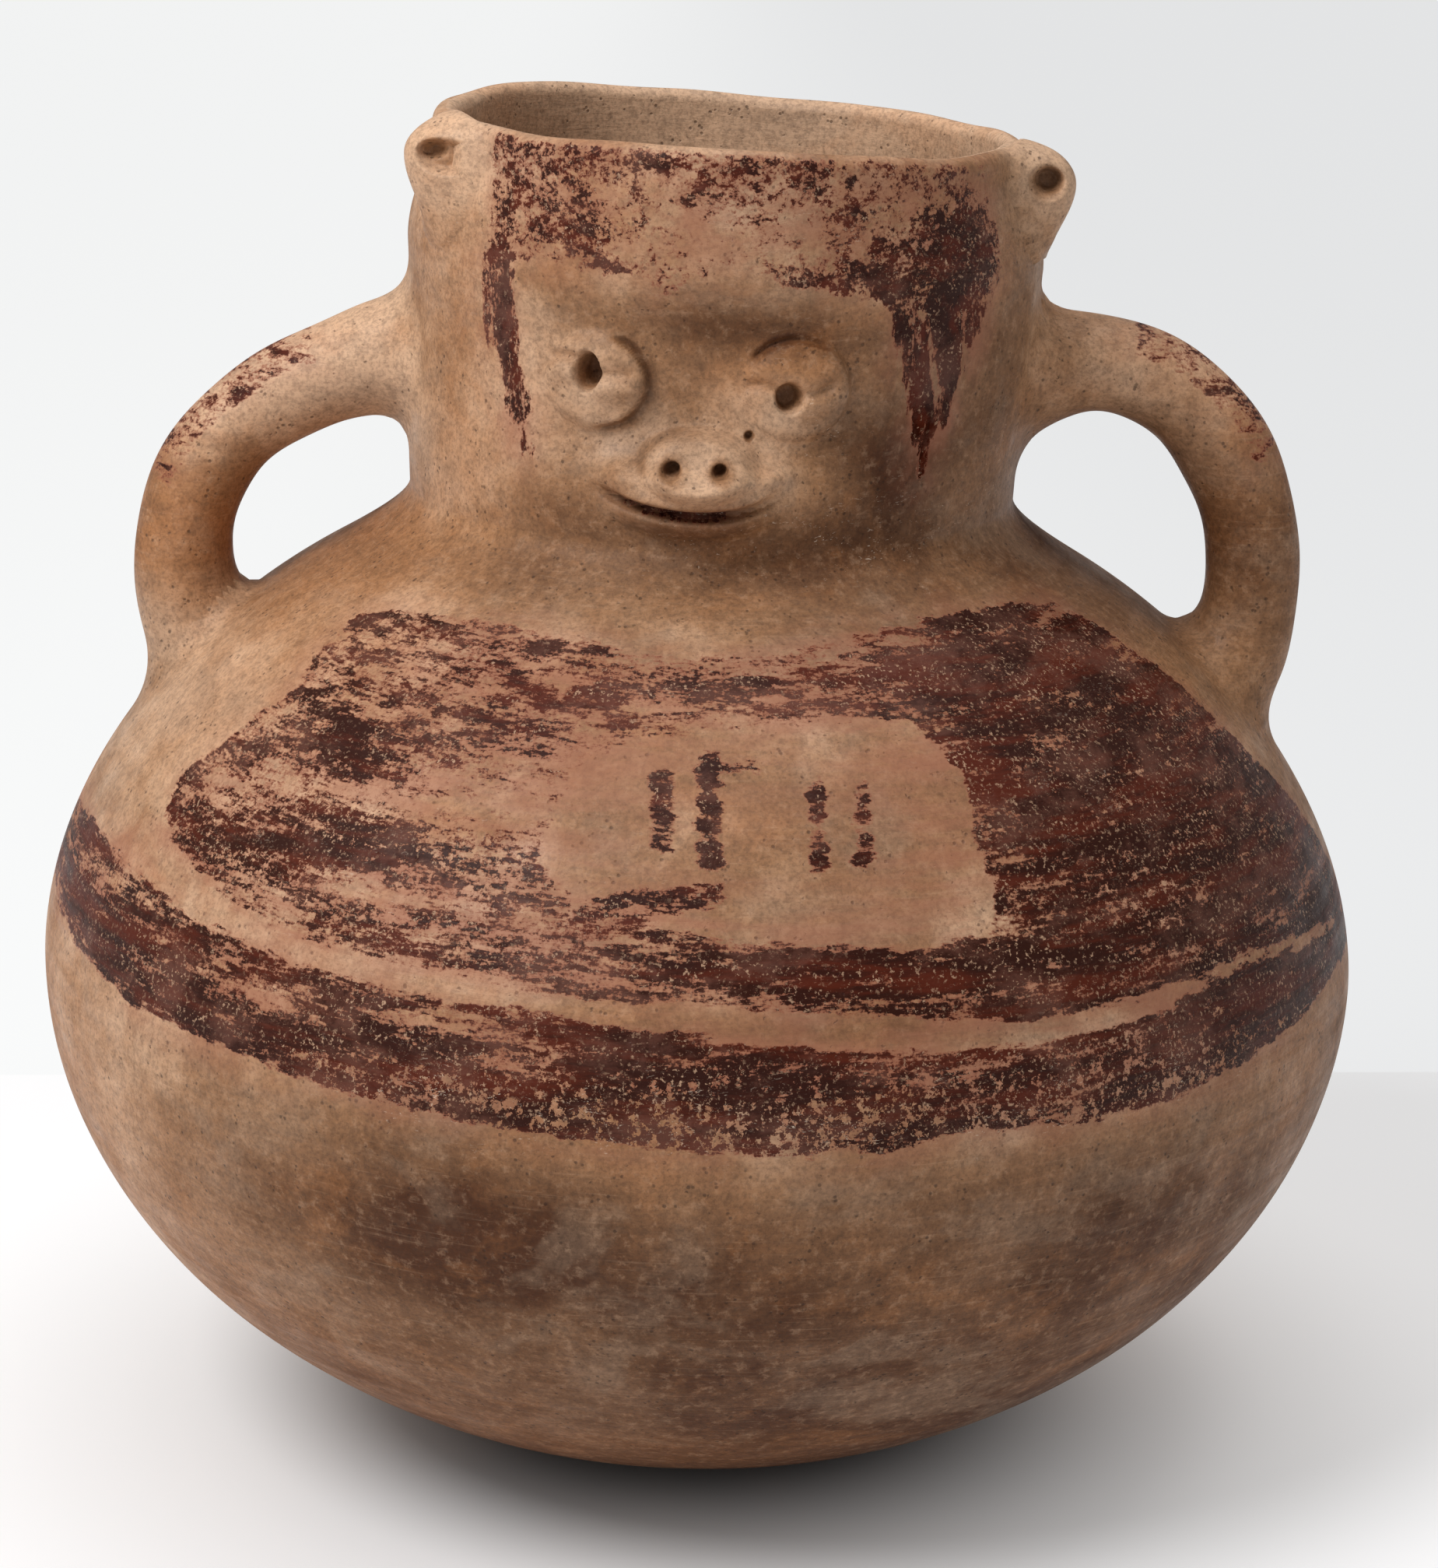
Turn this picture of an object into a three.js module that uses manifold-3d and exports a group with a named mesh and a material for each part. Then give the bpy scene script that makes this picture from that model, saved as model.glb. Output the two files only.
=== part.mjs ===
// A hand-built pottery jar with two handles and a face modelled on its wide neck.
// It is made of the pieces of clay that a potter raises and lutes together before firing.
// Millimetres, +Z up, the face looks along -Y. The origin is on the flat worn under the base.

import * as THREE from 'three';
import { mergeVertices } from 'three/addons/utils/BufferGeometryUtils.js';
import Module from 'manifold-3d';

const wasm = await Module();
wasm.setup();

// Body
const BELLY_RADIUS = 160;
const BELLY_HEIGHT = 118; // level of the widest girth
const FOOT_RADIUS = 44; // of the flat that the round base has worn
const SHOULDER_FULLNESS = 1.82; // power of the shoulder's curve, where 2 is a true ellipse
const LEAN = THREE.MathUtils.degToRad(1.8); // the jar stands a little to its left

// Neck
const NECK_LEVEL = 224; // where the shoulder runs into the neck
const NECK_HEIGHT = 95;
const NECK_BASE_RADIUS = 72.5;
const NECK_FLARE = 4.5; // how much wider the neck is at the rim
const NECK_FILLET = 22; // width of the blend between shoulder and neck
const RIM_TILT = 0.035; // fall of the rim across the jar
const RIM_TILT_START = 40; // height on the neck where the tilt sets in

// Walls and joints
const BASE_WALL = 10;
const BODY_WALL = 8;
const RIM_WALL = 6.5;
const LUTE = 0.3; // film of slip between two pieces
const SCARF = 6; // height of the slanted edge at each joint
const BASE_SEAM = 46; // top of the moulded base
const NECK_SEAM_RISE = 10; // joint of the neck above the shoulder
const RIM_COIL = 11; // height of the coil that makes the lip

// Handles
const HANDLE_THICKNESS = 22.5; // seen from the front
const HANDLE_WIDTH = 26; // seen from the side
const HANDLE_FLARE = { neck: 0.45, shoulder: 0.2 }; // how much wider a root is than the grip
const HANDLE_FLARE_LENGTH = 15;
const HANDLE_FOOT = 44; // how far below the shoulder's top a handle's foot is set in
const HANDLE_FOOT_DEPTH = 14; // and how far inside the wall its middle line ends
// Each was bent by eye: where it springs from the neck, then how it climbs, reaches, bows and hangs.
const HANDLES = {
  left: { side: -1, spring: 38, climb: -11, reach: 52, bow: 17, hang: 43 },
  right: { side: 1, spring: 36, climb: 21, reach: 50, bow: 29, hang: 33 },
};

// Ears
const EAR_LEVEL = 9; // centre below the rim
const EAR_PROUD = 9.5; // how far the lug stands out from the neck
const EAR_BREADTH = 9.5; // half size along the rim
const EAR_RISE = 9; // half size above its centre
const EAR_DROP = 17; // tail below its centre
const EAR_PIT_RADIUS = 4;
const EAR_PIT_DEPTH = 9;
const EARS = { left: -58, right: 81 }; // degrees round the neck

// Face
const FACE_TURN = -3.2; // degrees round the neck
const BROW_LEVEL = 66; // all levels are above the shoulder
const BROW_PRESS = 2.6; // depth of the thumbed hollow round the eyes
const BROW_EDGE = 13;
const HOLLOW_HALF_WIDTH = 44;
const HOLLOW_FLOOR = 26;
const MUZZLE_SWELL = 3.5;
const MUZZLE_LEVEL = 19;
const EYE_LEVEL = 43.5;
const EYE_SPREAD = 17.6; // degrees from the middle of the face
const EYE_RADIUS = 12.6;
const EYE_EDGE = 2; // how far the disc's rim stands out
const EYE_DOME = 3.2; // and how much further its middle does
const EYE_SLIT_WIDTH = 1.7;
const EYE_SLIT_DEPTH = 2.2;
const PUPIL_RADIUS = 3.2;
const PUPIL_DEPTH = 6;
const EYES = {
  left: { side: -1, pupil: [-2.4, 2.6], tilt: -5 },
  right: { side: 1, pupil: [-2.6, -2.4], tilt: 4 },
};
const MUZZLE_HALF_ANGLE = 22.5; // degrees that the upper lip runs each way
const MUZZLE_MIDDLE = 24;
const MUZZLE_DROOP = 2.5; // how much lower its corners hang
const MUZZLE_HALF_HEIGHT = 7.5; // under the snout, where it is fullest
const MUZZLE_PROUD = 10;
const MUZZLE_CORNER = { halfHeight: 3, proud: 2.5 };
const SMILE = 4; // how much higher the corners of the mouth are than its middle
const NOSTRIL_RADIUS = 2.1;
const NOSTRIL_DEPTH = 6;
const NOSTRIL_SPREAD = 3.6; // degrees from the middle of the snout
const NOSTRIL_LEVEL = 26.2;
const MOUTH_GAP = 2.4;
const LOWER_LIP_HALF_ANGLE = 19;
const LOWER_LIP_HALF_HEIGHT = 3;
const LOWER_LIP_PROUD = 4;

// Facets
const ROUND_SIDES = 60;
const HANDLE_SIDES = 14;
const HANDLE_STEPS = 22;
const LIP_STEPS = 18;
const LIP_SIDES = 12;

const RIM_LEVEL = NECK_LEVEL + NECK_HEIGHT;
const RIM_RADIUS = NECK_BASE_RADIUS + NECK_FLARE;
const NECK_SEAM = NECK_LEVEL + NECK_SEAM_RISE;
const RIM_SEAM = RIM_LEVEL - RIM_COIL;
const BASE_DROP = BELLY_HEIGHT / Math.sqrt(1 - (FOOT_RADIUS / BELLY_RADIUS) ** 2);
const SHOULDER_RISE = (NECK_LEVEL - BELLY_HEIGHT)
  / (1 - (NECK_BASE_RADIUS / BELLY_RADIUS) ** 2) ** (1 / SHOULDER_FULLNESS);

// Courses of wall, from joint to joint, and how many facets each has outside and inside
const COURSES = {
  belly_wall: { low: BASE_SEAM, high: BELLY_HEIGHT, outerSteps: 6, innerSteps: 4 },
  shoulder_wall: { low: BELLY_HEIGHT, high: NECK_SEAM, outerSteps: 13, innerSteps: 8 },
  neck_wall: { low: NECK_SEAM, high: RIM_SEAM, outerSteps: 13, innerSteps: 5 },
};

const CLAY = 0xa88763;
const SMOKED_CLAY = 0x8b735e;
const SLIPPED_CLAY = 0x7a4a3c;

const { degToRad, lerp, smoothstep } = THREE.MathUtils;

// Lines of the jar

function bodyRadius(z) {
  const upper = z > BELLY_HEIGHT;
  const share = upper ? (z - BELLY_HEIGHT) / SHOULDER_RISE : (BELLY_HEIGHT - z) / BASE_DROP;
  return BELLY_RADIUS * Math.sqrt(Math.max(0, 1 - share ** (upper ? SHOULDER_FULLNESS : 2)));
}

function neckRadius(z) {
  return lerp(NECK_BASE_RADIUS, RIM_RADIUS, (z - NECK_LEVEL) / NECK_HEIGHT);
}

// The outside of the jar: the larger of body and neck, with a soft blend where they meet.
function outerRadius(z) {
  const body = bodyRadius(z);
  if (z < BELLY_HEIGHT) return body;
  const neck = neckRadius(z);
  const share = THREE.MathUtils.clamp(0.5 + (body - neck) / (2 * NECK_FILLET), 0, 1);
  return lerp(neck, body, share) + NECK_FILLET * share * (1 - share);
}

function wallAt(z) {
  if (z < BELLY_HEIGHT) return lerp(BASE_WALL, BODY_WALL, Math.max(0, z) / BELLY_HEIGHT);
  return lerp(BODY_WALL, RIM_WALL, (z - BELLY_HEIGHT) / (RIM_LEVEL - BELLY_HEIGHT));
}

// The point at one level, moved out from the outer line along its normal.
function linePoint(z, out) {
  const step = 0.05;
  const slope = (outerRadius(z + step) - outerRadius(z - step)) / (2 * step);
  const normal = new THREE.Vector2(1, -slope).normalize();
  return new THREE.Vector2(outerRadius(z), z).addScaledVector(normal, out);
}

// A run of points on that line, evenly spaced along it.
function line(low, high, steps, out) {
  const fine = 60;
  const points = [];
  for (let i = 0; i <= fine; i++) {
    const z = lerp(low, high, i / fine);
    points.push(linePoint(z, typeof out === 'function' ? out(z) : out));
  }
  return new THREE.SplineCurve(points).getSpacedPoints(steps);
}

// Turns a profile of radius and height about the upright axis, starting at the front.
function revolve(profile) {
  return new THREE.LatheGeometry(profile, ROUND_SIDES).rotateX(Math.PI / 2);
}

// The outside of one course of wall, from its lower joint to its upper one.
function courseLine({ low, high, outerSteps }, out) {
  return line(low - SCARF / 2 + LUTE, high - SCARF / 2, outerSteps, out);
}

// A ring of wall between two slanted joints, lower edge outside and upper edge inside.
function wallProfile(course) {
  const { low, high, innerSteps } = course;
  const outer = courseLine(course, 0);
  const inner = line(low + SCARF / 2 + LUTE, high + SCARF / 2, innerSteps, (z) => -wallAt(z)).reverse();
  return [...outer, ...inner, outer[0].clone()];
}

function baseProfile(outerSteps, innerSteps) {
  const underground = -(FOOT_RADIUS * Math.tan(LEAN) + 1);
  const outer = line(underground, BASE_SEAM - SCARF / 2, outerSteps, 0);
  const inner = line(underground, BASE_SEAM + SCARF / 2, innerSteps, (z) => -wallAt(z)).reverse();
  const floor = inner.at(-1).y;
  return [new THREE.Vector2(0, underground), ...outer, ...inner, new THREE.Vector2(0, floor)];
}

// The lip: a short wall whose top is a full round.
function rimProfile() {
  const bead = RIM_WALL / 2;
  const crown = RIM_LEVEL - bead;
  const outer = line(RIM_SEAM - SCARF / 2 + LUTE, crown, 2, 0);
  const inner = line(RIM_SEAM + SCARF / 2 + LUTE, crown, 1, -RIM_WALL).reverse();
  const middle = outer.at(-1).clone().lerp(inner[0], 0.5);
  const round = [];
  for (const turn of [0.2, 0.4, 0.6, 0.8]) {
    const angle = turn * Math.PI;
    round.push(new THREE.Vector2(middle.x + bead * Math.cos(angle), middle.y + bead * Math.sin(angle)));
  }
  return [...outer, ...round, ...inner, outer[0].clone()];
}

// Everything inside the outer line, grown by the lute. What is luted on is cut by it.
function skinProfile() {
  const shoulder = courseLine(COURSES.shoulder_wall, LUTE);
  const neck = courseLine(COURSES.neck_wall, LUTE);
  const rim = line(RIM_SEAM - SCARF / 2 + LUTE, RIM_LEVEL - RIM_WALL / 2, 2, LUTE);
  const top = linePoint(RIM_LEVEL + EAR_RISE, LUTE);
  const outside = [...shoulder, ...neck, ...rim, top];
  return [new THREE.Vector2(0, outside[0].y), ...outside, new THREE.Vector2(0, top.y)];
}

// Shaping by hand

function bump(offset, width) {
  return Math.exp(-((offset / width) ** 2));
}

// How far the thumb moves the neck wall out or in, at an arc and a height from the face's middle.
function relief(angle, z) {
  const across = (angle - degToRad(FACE_TURN)) * NECK_BASE_RADIUS;
  const height = z - NECK_LEVEL;
  const under = 1 - smoothstep(height, BROW_LEVEL - BROW_EDGE, BROW_LEVEL);
  const over = smoothstep(height, HOLLOW_FLOOR - BROW_EDGE, HOLLOW_FLOOR + BROW_EDGE);
  const hollow = -BROW_PRESS * under * over * (1 - smoothstep(Math.abs(across), HOLLOW_HALF_WIDTH / 2, HOLLOW_HALF_WIDTH));
  const swell = MUZZLE_SWELL * bump(across, HOLLOW_HALF_WIDTH * 0.7) * bump(height - MUZZLE_LEVEL, MUZZLE_LEVEL / 2);
  return hollow + swell;
}

function shapeNeck(point) {
  const radius = Math.hypot(point.x, point.y);
  if (point.z > NECK_LEVEL && radius > NECK_BASE_RADIUS / 2) {
    const angle = Math.atan2(point.x, -point.y);
    const grown = (radius + relief(angle, point.z)) / radius;
    point.x *= grown;
    point.y *= grown;
  }
  const tilt = smoothstep(point.z, NECK_LEVEL + RIM_TILT_START, RIM_LEVEL);
  point.z -= RIM_TILT * point.x * tilt;
  return point;
}

function reshape(geometry, move) {
  const positions = geometry.getAttribute('position');
  const point = new THREE.Vector3();
  for (let i = 0; i < positions.count; i++) {
    move(point.fromBufferAttribute(positions, i));
    positions.setXYZ(i, point.x, point.y, point.z);
  }
  return geometry;
}

// A stand on the outside of the neck: its own z axis points out and its y axis up.
function onNeck(degrees, level) {
  const angle = degToRad(degrees);
  const z = NECK_LEVEL + level;
  const radius = neckRadius(z);
  const place = new THREE.Object3D();
  place.position.copy(shapeNeck(new THREE.Vector3(radius * Math.sin(angle), -radius * Math.cos(angle), z)));
  const out = new THREE.Vector3(Math.sin(angle), -Math.cos(angle), 0);
  const up = new THREE.Vector3(0, 0, 1);
  const right = new THREE.Vector3().crossVectors(up, out);
  place.quaternion.setFromRotationMatrix(new THREE.Matrix4().makeBasis(right, up, out));
  place.updateMatrix();
  return place;
}

// Solids

function solid(geometry) {
  const bare = geometry.clone();
  bare.deleteAttribute('normal');
  bare.deleteAttribute('uv');
  const merged = mergeVertices(bare, 1e-3);
  return new wasm.Manifold(new wasm.Mesh({
    numProp: 3,
    vertProperties: merged.getAttribute('position').array,
    triVerts: new Uint32Array(merged.index.array),
  }));
}

function geometryOf(manifold) {
  const mesh = manifold.getMesh();
  const geometry = new THREE.BufferGeometry();
  geometry.setAttribute('position', new THREE.BufferAttribute(mesh.vertProperties, 3));
  geometry.setIndex(new THREE.BufferAttribute(mesh.triVerts, 1));
  geometry.computeVertexNormals();
  return geometry;
}

// Joins a row of equal rings into one closed skin, with a fan over each end.
function loft(rings) {
  const sides = rings[0].length;
  const points = rings.flat();
  const faces = [];
  for (let r = 0; r + 1 < rings.length; r++) {
    for (let s = 0; s < sides; s++) {
      const a = r * sides + s;
      const b = r * sides + ((s + 1) % sides);
      faces.push(a, b, b + sides, a, b + sides, a + sides);
    }
  }
  const last = (rings.length - 1) * sides;
  for (let s = 1; s + 1 < sides; s++) {
    faces.push(0, s + 1, s, last, last + s, last + s + 1);
  }
  const geometry = new THREE.BufferGeometry().setFromPoints(points);
  geometry.setIndex(faces);
  return geometry;
}

// Handles

// The middle line of a handle: out of the neck, round the hand and down into the shoulder.
function handleCurve({ side, spring, climb, reach, bow, hang }) {
  const neckZ = NECK_LEVEL + spring;
  const neckX = neckRadius(neckZ) - BODY_WALL / 2;
  const footZ = NECK_LEVEL - HANDLE_FOOT;
  const footX = outerRadius(footZ) - HANDLE_FOOT_DEPTH;
  return new THREE.CubicBezierCurve3(
    new THREE.Vector3(side * neckX, 0, neckZ),
    new THREE.Vector3(side * (neckX + reach), 0, neckZ + climb),
    new THREE.Vector3(side * (footX + bow), 0, footZ + hang),
    new THREE.Vector3(side * footX, 0, footZ),
  );
}

function handle(spec, skin) {
  const curve = handleCurve(spec);
  const length = curve.getLength();
  const rings = [];
  for (let i = 0; i <= HANDLE_STEPS; i++) {
    const share = i / HANDLE_STEPS;
    const middle = curve.getPointAt(share);
    const along = curve.getTangentAt(share);
    const across = new THREE.Vector3(0, 1, 0);
    const outward = new THREE.Vector3().crossVectors(across, along);
    const fromNeck = share * length - BODY_WALL / 2;
    const fromShoulder = (1 - share) * length - HANDLE_FOOT_DEPTH;
    const swell = 1 + HANDLE_FLARE.neck * bump(Math.max(0, fromNeck), HANDLE_FLARE_LENGTH)
      + HANDLE_FLARE.shoulder * bump(Math.max(0, fromShoulder), HANDLE_FLARE_LENGTH);
    const ring = [];
    for (let s = 0; s < HANDLE_SIDES; s++) {
      const angle = (2 * Math.PI * s) / HANDLE_SIDES;
      ring.push(middle.clone()
        .addScaledVector(outward, (HANDLE_THICKNESS / 2) * swell * Math.cos(angle))
        .addScaledVector(across, (HANDLE_WIDTH / 2) * swell * Math.sin(angle)));
    }
    rings.push(ring);
  }
  return solid(loft(rings)).subtract(skin);
}

// Ears

// A rounded lug with a tail, and a pit pressed into it from the front, square to the face.
function ear(degrees, skin) {
  const place = onNeck(degrees, NECK_HEIGHT - EAR_LEVEL);
  const lug = reshape(new THREE.SphereGeometry(1, 20, 14), (point) => {
    const tail = point.y < 0 ? 1 - 0.35 * point.y ** 2 : 1;
    const drop = point.y < 0 ? EAR_DROP : EAR_RISE;
    point.set(point.x * EAR_BREADTH * tail, point.y * drop, point.z * EAR_PROUD * tail);
  });
  const middle = new THREE.Vector3(0, 0, EAR_PROUD * 0.4).applyMatrix4(place.matrix);
  const pit = new THREE.CylinderGeometry(EAR_PIT_RADIUS * 1.25, EAR_PIT_RADIUS * 0.5, EAR_PIT_DEPTH * 2, 12);
  pit.rotateX(Math.PI / 2).translate(middle.x, middle.y - EAR_BREADTH * 0.9, middle.z);
  return solid(lug.applyMatrix4(place.matrix)).subtract(skin).subtract(solid(pit));
}

// Face

function eye({ side, pupil, tilt }, skin) {
  const place = onNeck(FACE_TURN + side * EYE_SPREAD, EYE_LEVEL);
  const front = EYE_EDGE + EYE_DOME;
  const profile = [new THREE.Vector2(0, -RIM_WALL), new THREE.Vector2(EYE_RADIUS, -RIM_WALL)];
  for (let i = 0; i <= 6; i++) {
    const angle = (i / 6) * (Math.PI / 2);
    profile.push(new THREE.Vector2(EYE_RADIUS * Math.cos(angle), EYE_EDGE + EYE_DOME * Math.sin(angle)));
  }
  profile.at(-1).x = 0;
  const dome = new THREE.LatheGeometry(profile, 24).rotateX(Math.PI / 2);

  // The slit between the lids is a thin crescent that sags in the middle.
  const half = EYE_RADIUS * 0.82;
  const crescent = new THREE.Shape();
  crescent.moveTo(-half, 0);
  crescent.quadraticCurveTo(0, -EYE_SLIT_WIDTH * 2, half, 0);
  crescent.quadraticCurveTo(0, EYE_SLIT_WIDTH * 0.3, -half, 0);
  const slit = new THREE.ExtrudeGeometry(crescent, { depth: front, bevelEnabled: false, curveSegments: 8 });
  slit.rotateZ(degToRad(tilt)).translate(0, pupil[1], front - EYE_SLIT_DEPTH);

  const pit = new THREE.CylinderGeometry(PUPIL_RADIUS, PUPIL_RADIUS * 0.6, PUPIL_DEPTH * 2, 16);
  pit.rotateX(Math.PI / 2).translate(pupil[0], pupil[1] - EYE_SLIT_WIDTH / 2, front);

  const disc = solid(dome).subtract(solid(slit)).subtract(solid(pit));
  return solid(geometryOf(disc).applyMatrix4(place.matrix)).subtract(skin);
}

// A roll of clay laid round the neck, whose height and relief change along it.
function roll(halfAngle, section) {
  const rings = [];
  for (let i = 0; i <= LIP_STEPS; i++) {
    const run = (2 * i) / LIP_STEPS - 1;
    const degrees = FACE_TURN + run * halfAngle;
    const { level, halfHeight, proud } = section(run);
    const place = onNeck(degrees, level);
    const out = new THREE.Vector3(0, 0, 1).applyQuaternion(place.quaternion);
    const ring = [];
    for (let s = 0; s < LIP_SIDES; s++) {
      const angle = (-2 * Math.PI * s) / LIP_SIDES;
      const depth = Math.cos(angle) > 0 ? proud : RIM_WALL;
      ring.push(place.position.clone()
        .addScaledVector(out, depth * Math.cos(angle))
        .add(new THREE.Vector3(0, 0, halfHeight * Math.sin(angle))));
    }
    rings.push(ring);
  }
  return solid(loft(rings));
}

function taper(run) {
  return Math.sqrt(Math.max(0.03, 1 - run * run));
}

// The upper lip swells into the snout at its middle, and its lower edge hangs in a smile.
function muzzle(skin) {
  let shape = roll(MUZZLE_HALF_ANGLE, (run) => {
    const full = (1 + Math.cos(Math.PI * run)) / 2;
    return {
      level: MUZZLE_MIDDLE - MUZZLE_DROOP * run * run,
      halfHeight: lerp(MUZZLE_CORNER.halfHeight, MUZZLE_HALF_HEIGHT, full) * taper(run),
      proud: lerp(MUZZLE_CORNER.proud, MUZZLE_PROUD, full ** 1.4) * taper(run),
    };
  });
  for (const side of [-1, 1]) {
    const place = onNeck(FACE_TURN + side * NOSTRIL_SPREAD, NOSTRIL_LEVEL);
    const nostril = new THREE.CylinderGeometry(NOSTRIL_RADIUS, NOSTRIL_RADIUS * 0.5, NOSTRIL_DEPTH * 2, 10);
    nostril.rotateX(Math.PI / 2).translate(0, 0, MUZZLE_PROUD);
    shape = shape.subtract(solid(nostril.applyMatrix4(place.matrix)));
  }
  return shape.subtract(skin);
}

// The lower lip is a thinner roll that follows the smile at the width of the mouth's slit.
function lowerLip(skin) {
  const middle = MUZZLE_MIDDLE - MUZZLE_HALF_HEIGHT - MOUTH_GAP - LOWER_LIP_HALF_HEIGHT;
  const shape = roll(LOWER_LIP_HALF_ANGLE, (run) => ({
    level: middle + SMILE * run * run,
    halfHeight: LOWER_LIP_HALF_HEIGHT * taper(run),
    proud: LOWER_LIP_PROUD * taper(run),
  }));
  return shape.subtract(skin);
}

// Assembly

const jar = new THREE.Group();
jar.rotation.y = LEAN;
jar.position.set(-BELLY_HEIGHT * Math.sin(LEAN), 0, BELLY_HEIGHT * (1 - Math.cos(LEAN)));
jar.updateMatrix();

function piece(name, geometry, colour) {
  const material = new THREE.MeshStandardMaterial({ color: colour, roughness: 0.7, metalness: 0 });
  const mesh = new THREE.Mesh(geometry, material);
  mesh.name = name;
  jar.add(mesh);
}

// The worn flat lies level with the ground, however the jar leans.
function wornBase() {
  const block = new THREE.BoxGeometry(4 * FOOT_RADIUS, 4 * FOOT_RADIUS, FOOT_RADIUS);
  block.translate(0, 0, -FOOT_RADIUS / 2).applyMatrix4(jar.matrix.clone().invert());
  return geometryOf(solid(revolve(baseProfile(9, 6))).subtract(solid(block)));
}

const skin = solid(reshape(revolve(skinProfile()), shapeNeck));

piece('base_bowl', wornBase(), CLAY);
piece('belly_wall', revolve(wallProfile(COURSES.belly_wall)), CLAY);
piece('shoulder_wall', reshape(revolve(wallProfile(COURSES.shoulder_wall)), shapeNeck), SLIPPED_CLAY);
piece('neck_wall', reshape(revolve(wallProfile(COURSES.neck_wall)), shapeNeck), SMOKED_CLAY);
piece('rim_coil', reshape(revolve(rimProfile()), shapeNeck), CLAY);
piece('muzzle', geometryOf(muzzle(skin)), CLAY);
piece('lower_lip', geometryOf(lowerLip(skin)), CLAY);
for (const name of ['left', 'right']) {
  piece(`handle_${name}`, geometryOf(handle(HANDLES[name], skin)), CLAY);
  piece(`ear_${name}`, geometryOf(ear(EARS[name], skin)), CLAY);
  piece(`eye_${name}`, geometryOf(eye(EYES[name], skin)), CLAY);
}

export default jar;
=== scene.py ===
# %% [markdown]
# # A pottery jar with a face on its neck
#
# The jar was raised by hand in courses of clay, with handles, ears and a face luted on, brushed with
# red-brown slip, burnished with a pebble and fired in smoke. This lesson makes each of those pieces of clay
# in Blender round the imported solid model, and then gives them their fired and worn surface.
#
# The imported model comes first. It is the frame: everything below is in the same place and at the same size.

import math

import bmesh
import bpy
import numpy as np
from mathutils import Matrix, Vector


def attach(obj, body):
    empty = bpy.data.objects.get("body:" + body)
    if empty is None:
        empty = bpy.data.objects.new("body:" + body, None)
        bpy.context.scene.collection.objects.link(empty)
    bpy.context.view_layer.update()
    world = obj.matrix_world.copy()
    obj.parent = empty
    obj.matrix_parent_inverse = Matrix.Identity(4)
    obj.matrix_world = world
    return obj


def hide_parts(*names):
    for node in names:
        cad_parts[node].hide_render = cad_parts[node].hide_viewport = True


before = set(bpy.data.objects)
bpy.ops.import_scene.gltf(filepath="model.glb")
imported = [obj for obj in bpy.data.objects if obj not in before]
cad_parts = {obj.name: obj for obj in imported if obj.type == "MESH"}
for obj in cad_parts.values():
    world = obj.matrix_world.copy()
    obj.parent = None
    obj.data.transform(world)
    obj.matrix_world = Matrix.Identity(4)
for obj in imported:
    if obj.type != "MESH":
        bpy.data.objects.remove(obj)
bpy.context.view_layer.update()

# %% [markdown]
# ## The lines of the jar
#
# A jar that was raised by hand is still nearly round, so one line, turned about the upright axis, gives most
# of it: a round belly, a full shoulder and a wide neck with a soft blend between them. These are the measures
# of the solid model, in millimetres, and the same formulas. Working in millimetres keeps the numbers
# easy to picture. Each finished piece is turned into metres once, at the end.

# %% Measures of body and neck
BELLY_RADIUS = 159.8
BELLY_HEIGHT = 118.0
FOOT_RADIUS = 44.0
SHOULDER_FULLNESS = 1.82
NECK_LEVEL = 224.0
NECK_HEIGHT = 95.0
NECK_BASE_RADIUS = 72.5
RIM_RADIUS = 77.0
NECK_FILLET = 22.0
RIM_LEVEL = NECK_LEVEL + NECK_HEIGHT
BASE_WALL, BODY_WALL, RIM_WALL = 10.0, 8.0, 6.5
BASE_DROP = BELLY_HEIGHT / math.sqrt(1 - (FOOT_RADIUS / BELLY_RADIUS) ** 2)
SHOULDER_SHARE = 1 - (NECK_BASE_RADIUS / BELLY_RADIUS) ** 2
SHOULDER_RISE = (NECK_LEVEL - BELLY_HEIGHT) / SHOULDER_SHARE ** (1 / SHOULDER_FULLNESS)
CROWN = RIM_LEVEL - RIM_WALL / 2


def mix(a, b, share):
    return a + (b - a) * share


def rise(value, low, high):
    """Goes smoothly from 0 at low to 1 at high."""
    share = np.clip((value - low) / (high - low), 0, 1)
    return share * share * (3 - 2 * share)


def bump(offset, width):
    return np.exp(-((offset / width) ** 2))


def unit_rows(rows):
    """The same directions with a length of one."""
    return rows / np.maximum(np.linalg.norm(rows, axis=1), 1e-6)[:, None]


def body_radius(z):
    upper = z > BELLY_HEIGHT
    share = np.where(upper, (z - BELLY_HEIGHT) / SHOULDER_RISE, (BELLY_HEIGHT - z) / BASE_DROP)
    power = np.where(upper, SHOULDER_FULLNESS, 2.0)
    return BELLY_RADIUS * np.sqrt(np.clip(1 - np.abs(share) ** power, 0, None))


def neck_radius(z):
    return mix(NECK_BASE_RADIUS, RIM_RADIUS, (z - NECK_LEVEL) / NECK_HEIGHT)


def outer_radius(z):
    z = np.asarray(z, float)
    body, neck = body_radius(z), neck_radius(z)
    share = np.clip(0.5 + (body - neck) / (2 * NECK_FILLET), 0, 1)
    blended = mix(neck, body, share) + NECK_FILLET * share * (1 - share)
    return np.where(z < BELLY_HEIGHT, body, blended)


def slope(z):
    step = 0.05
    return (outer_radius(z + step) - outer_radius(z - step)) / (2 * step)


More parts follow.
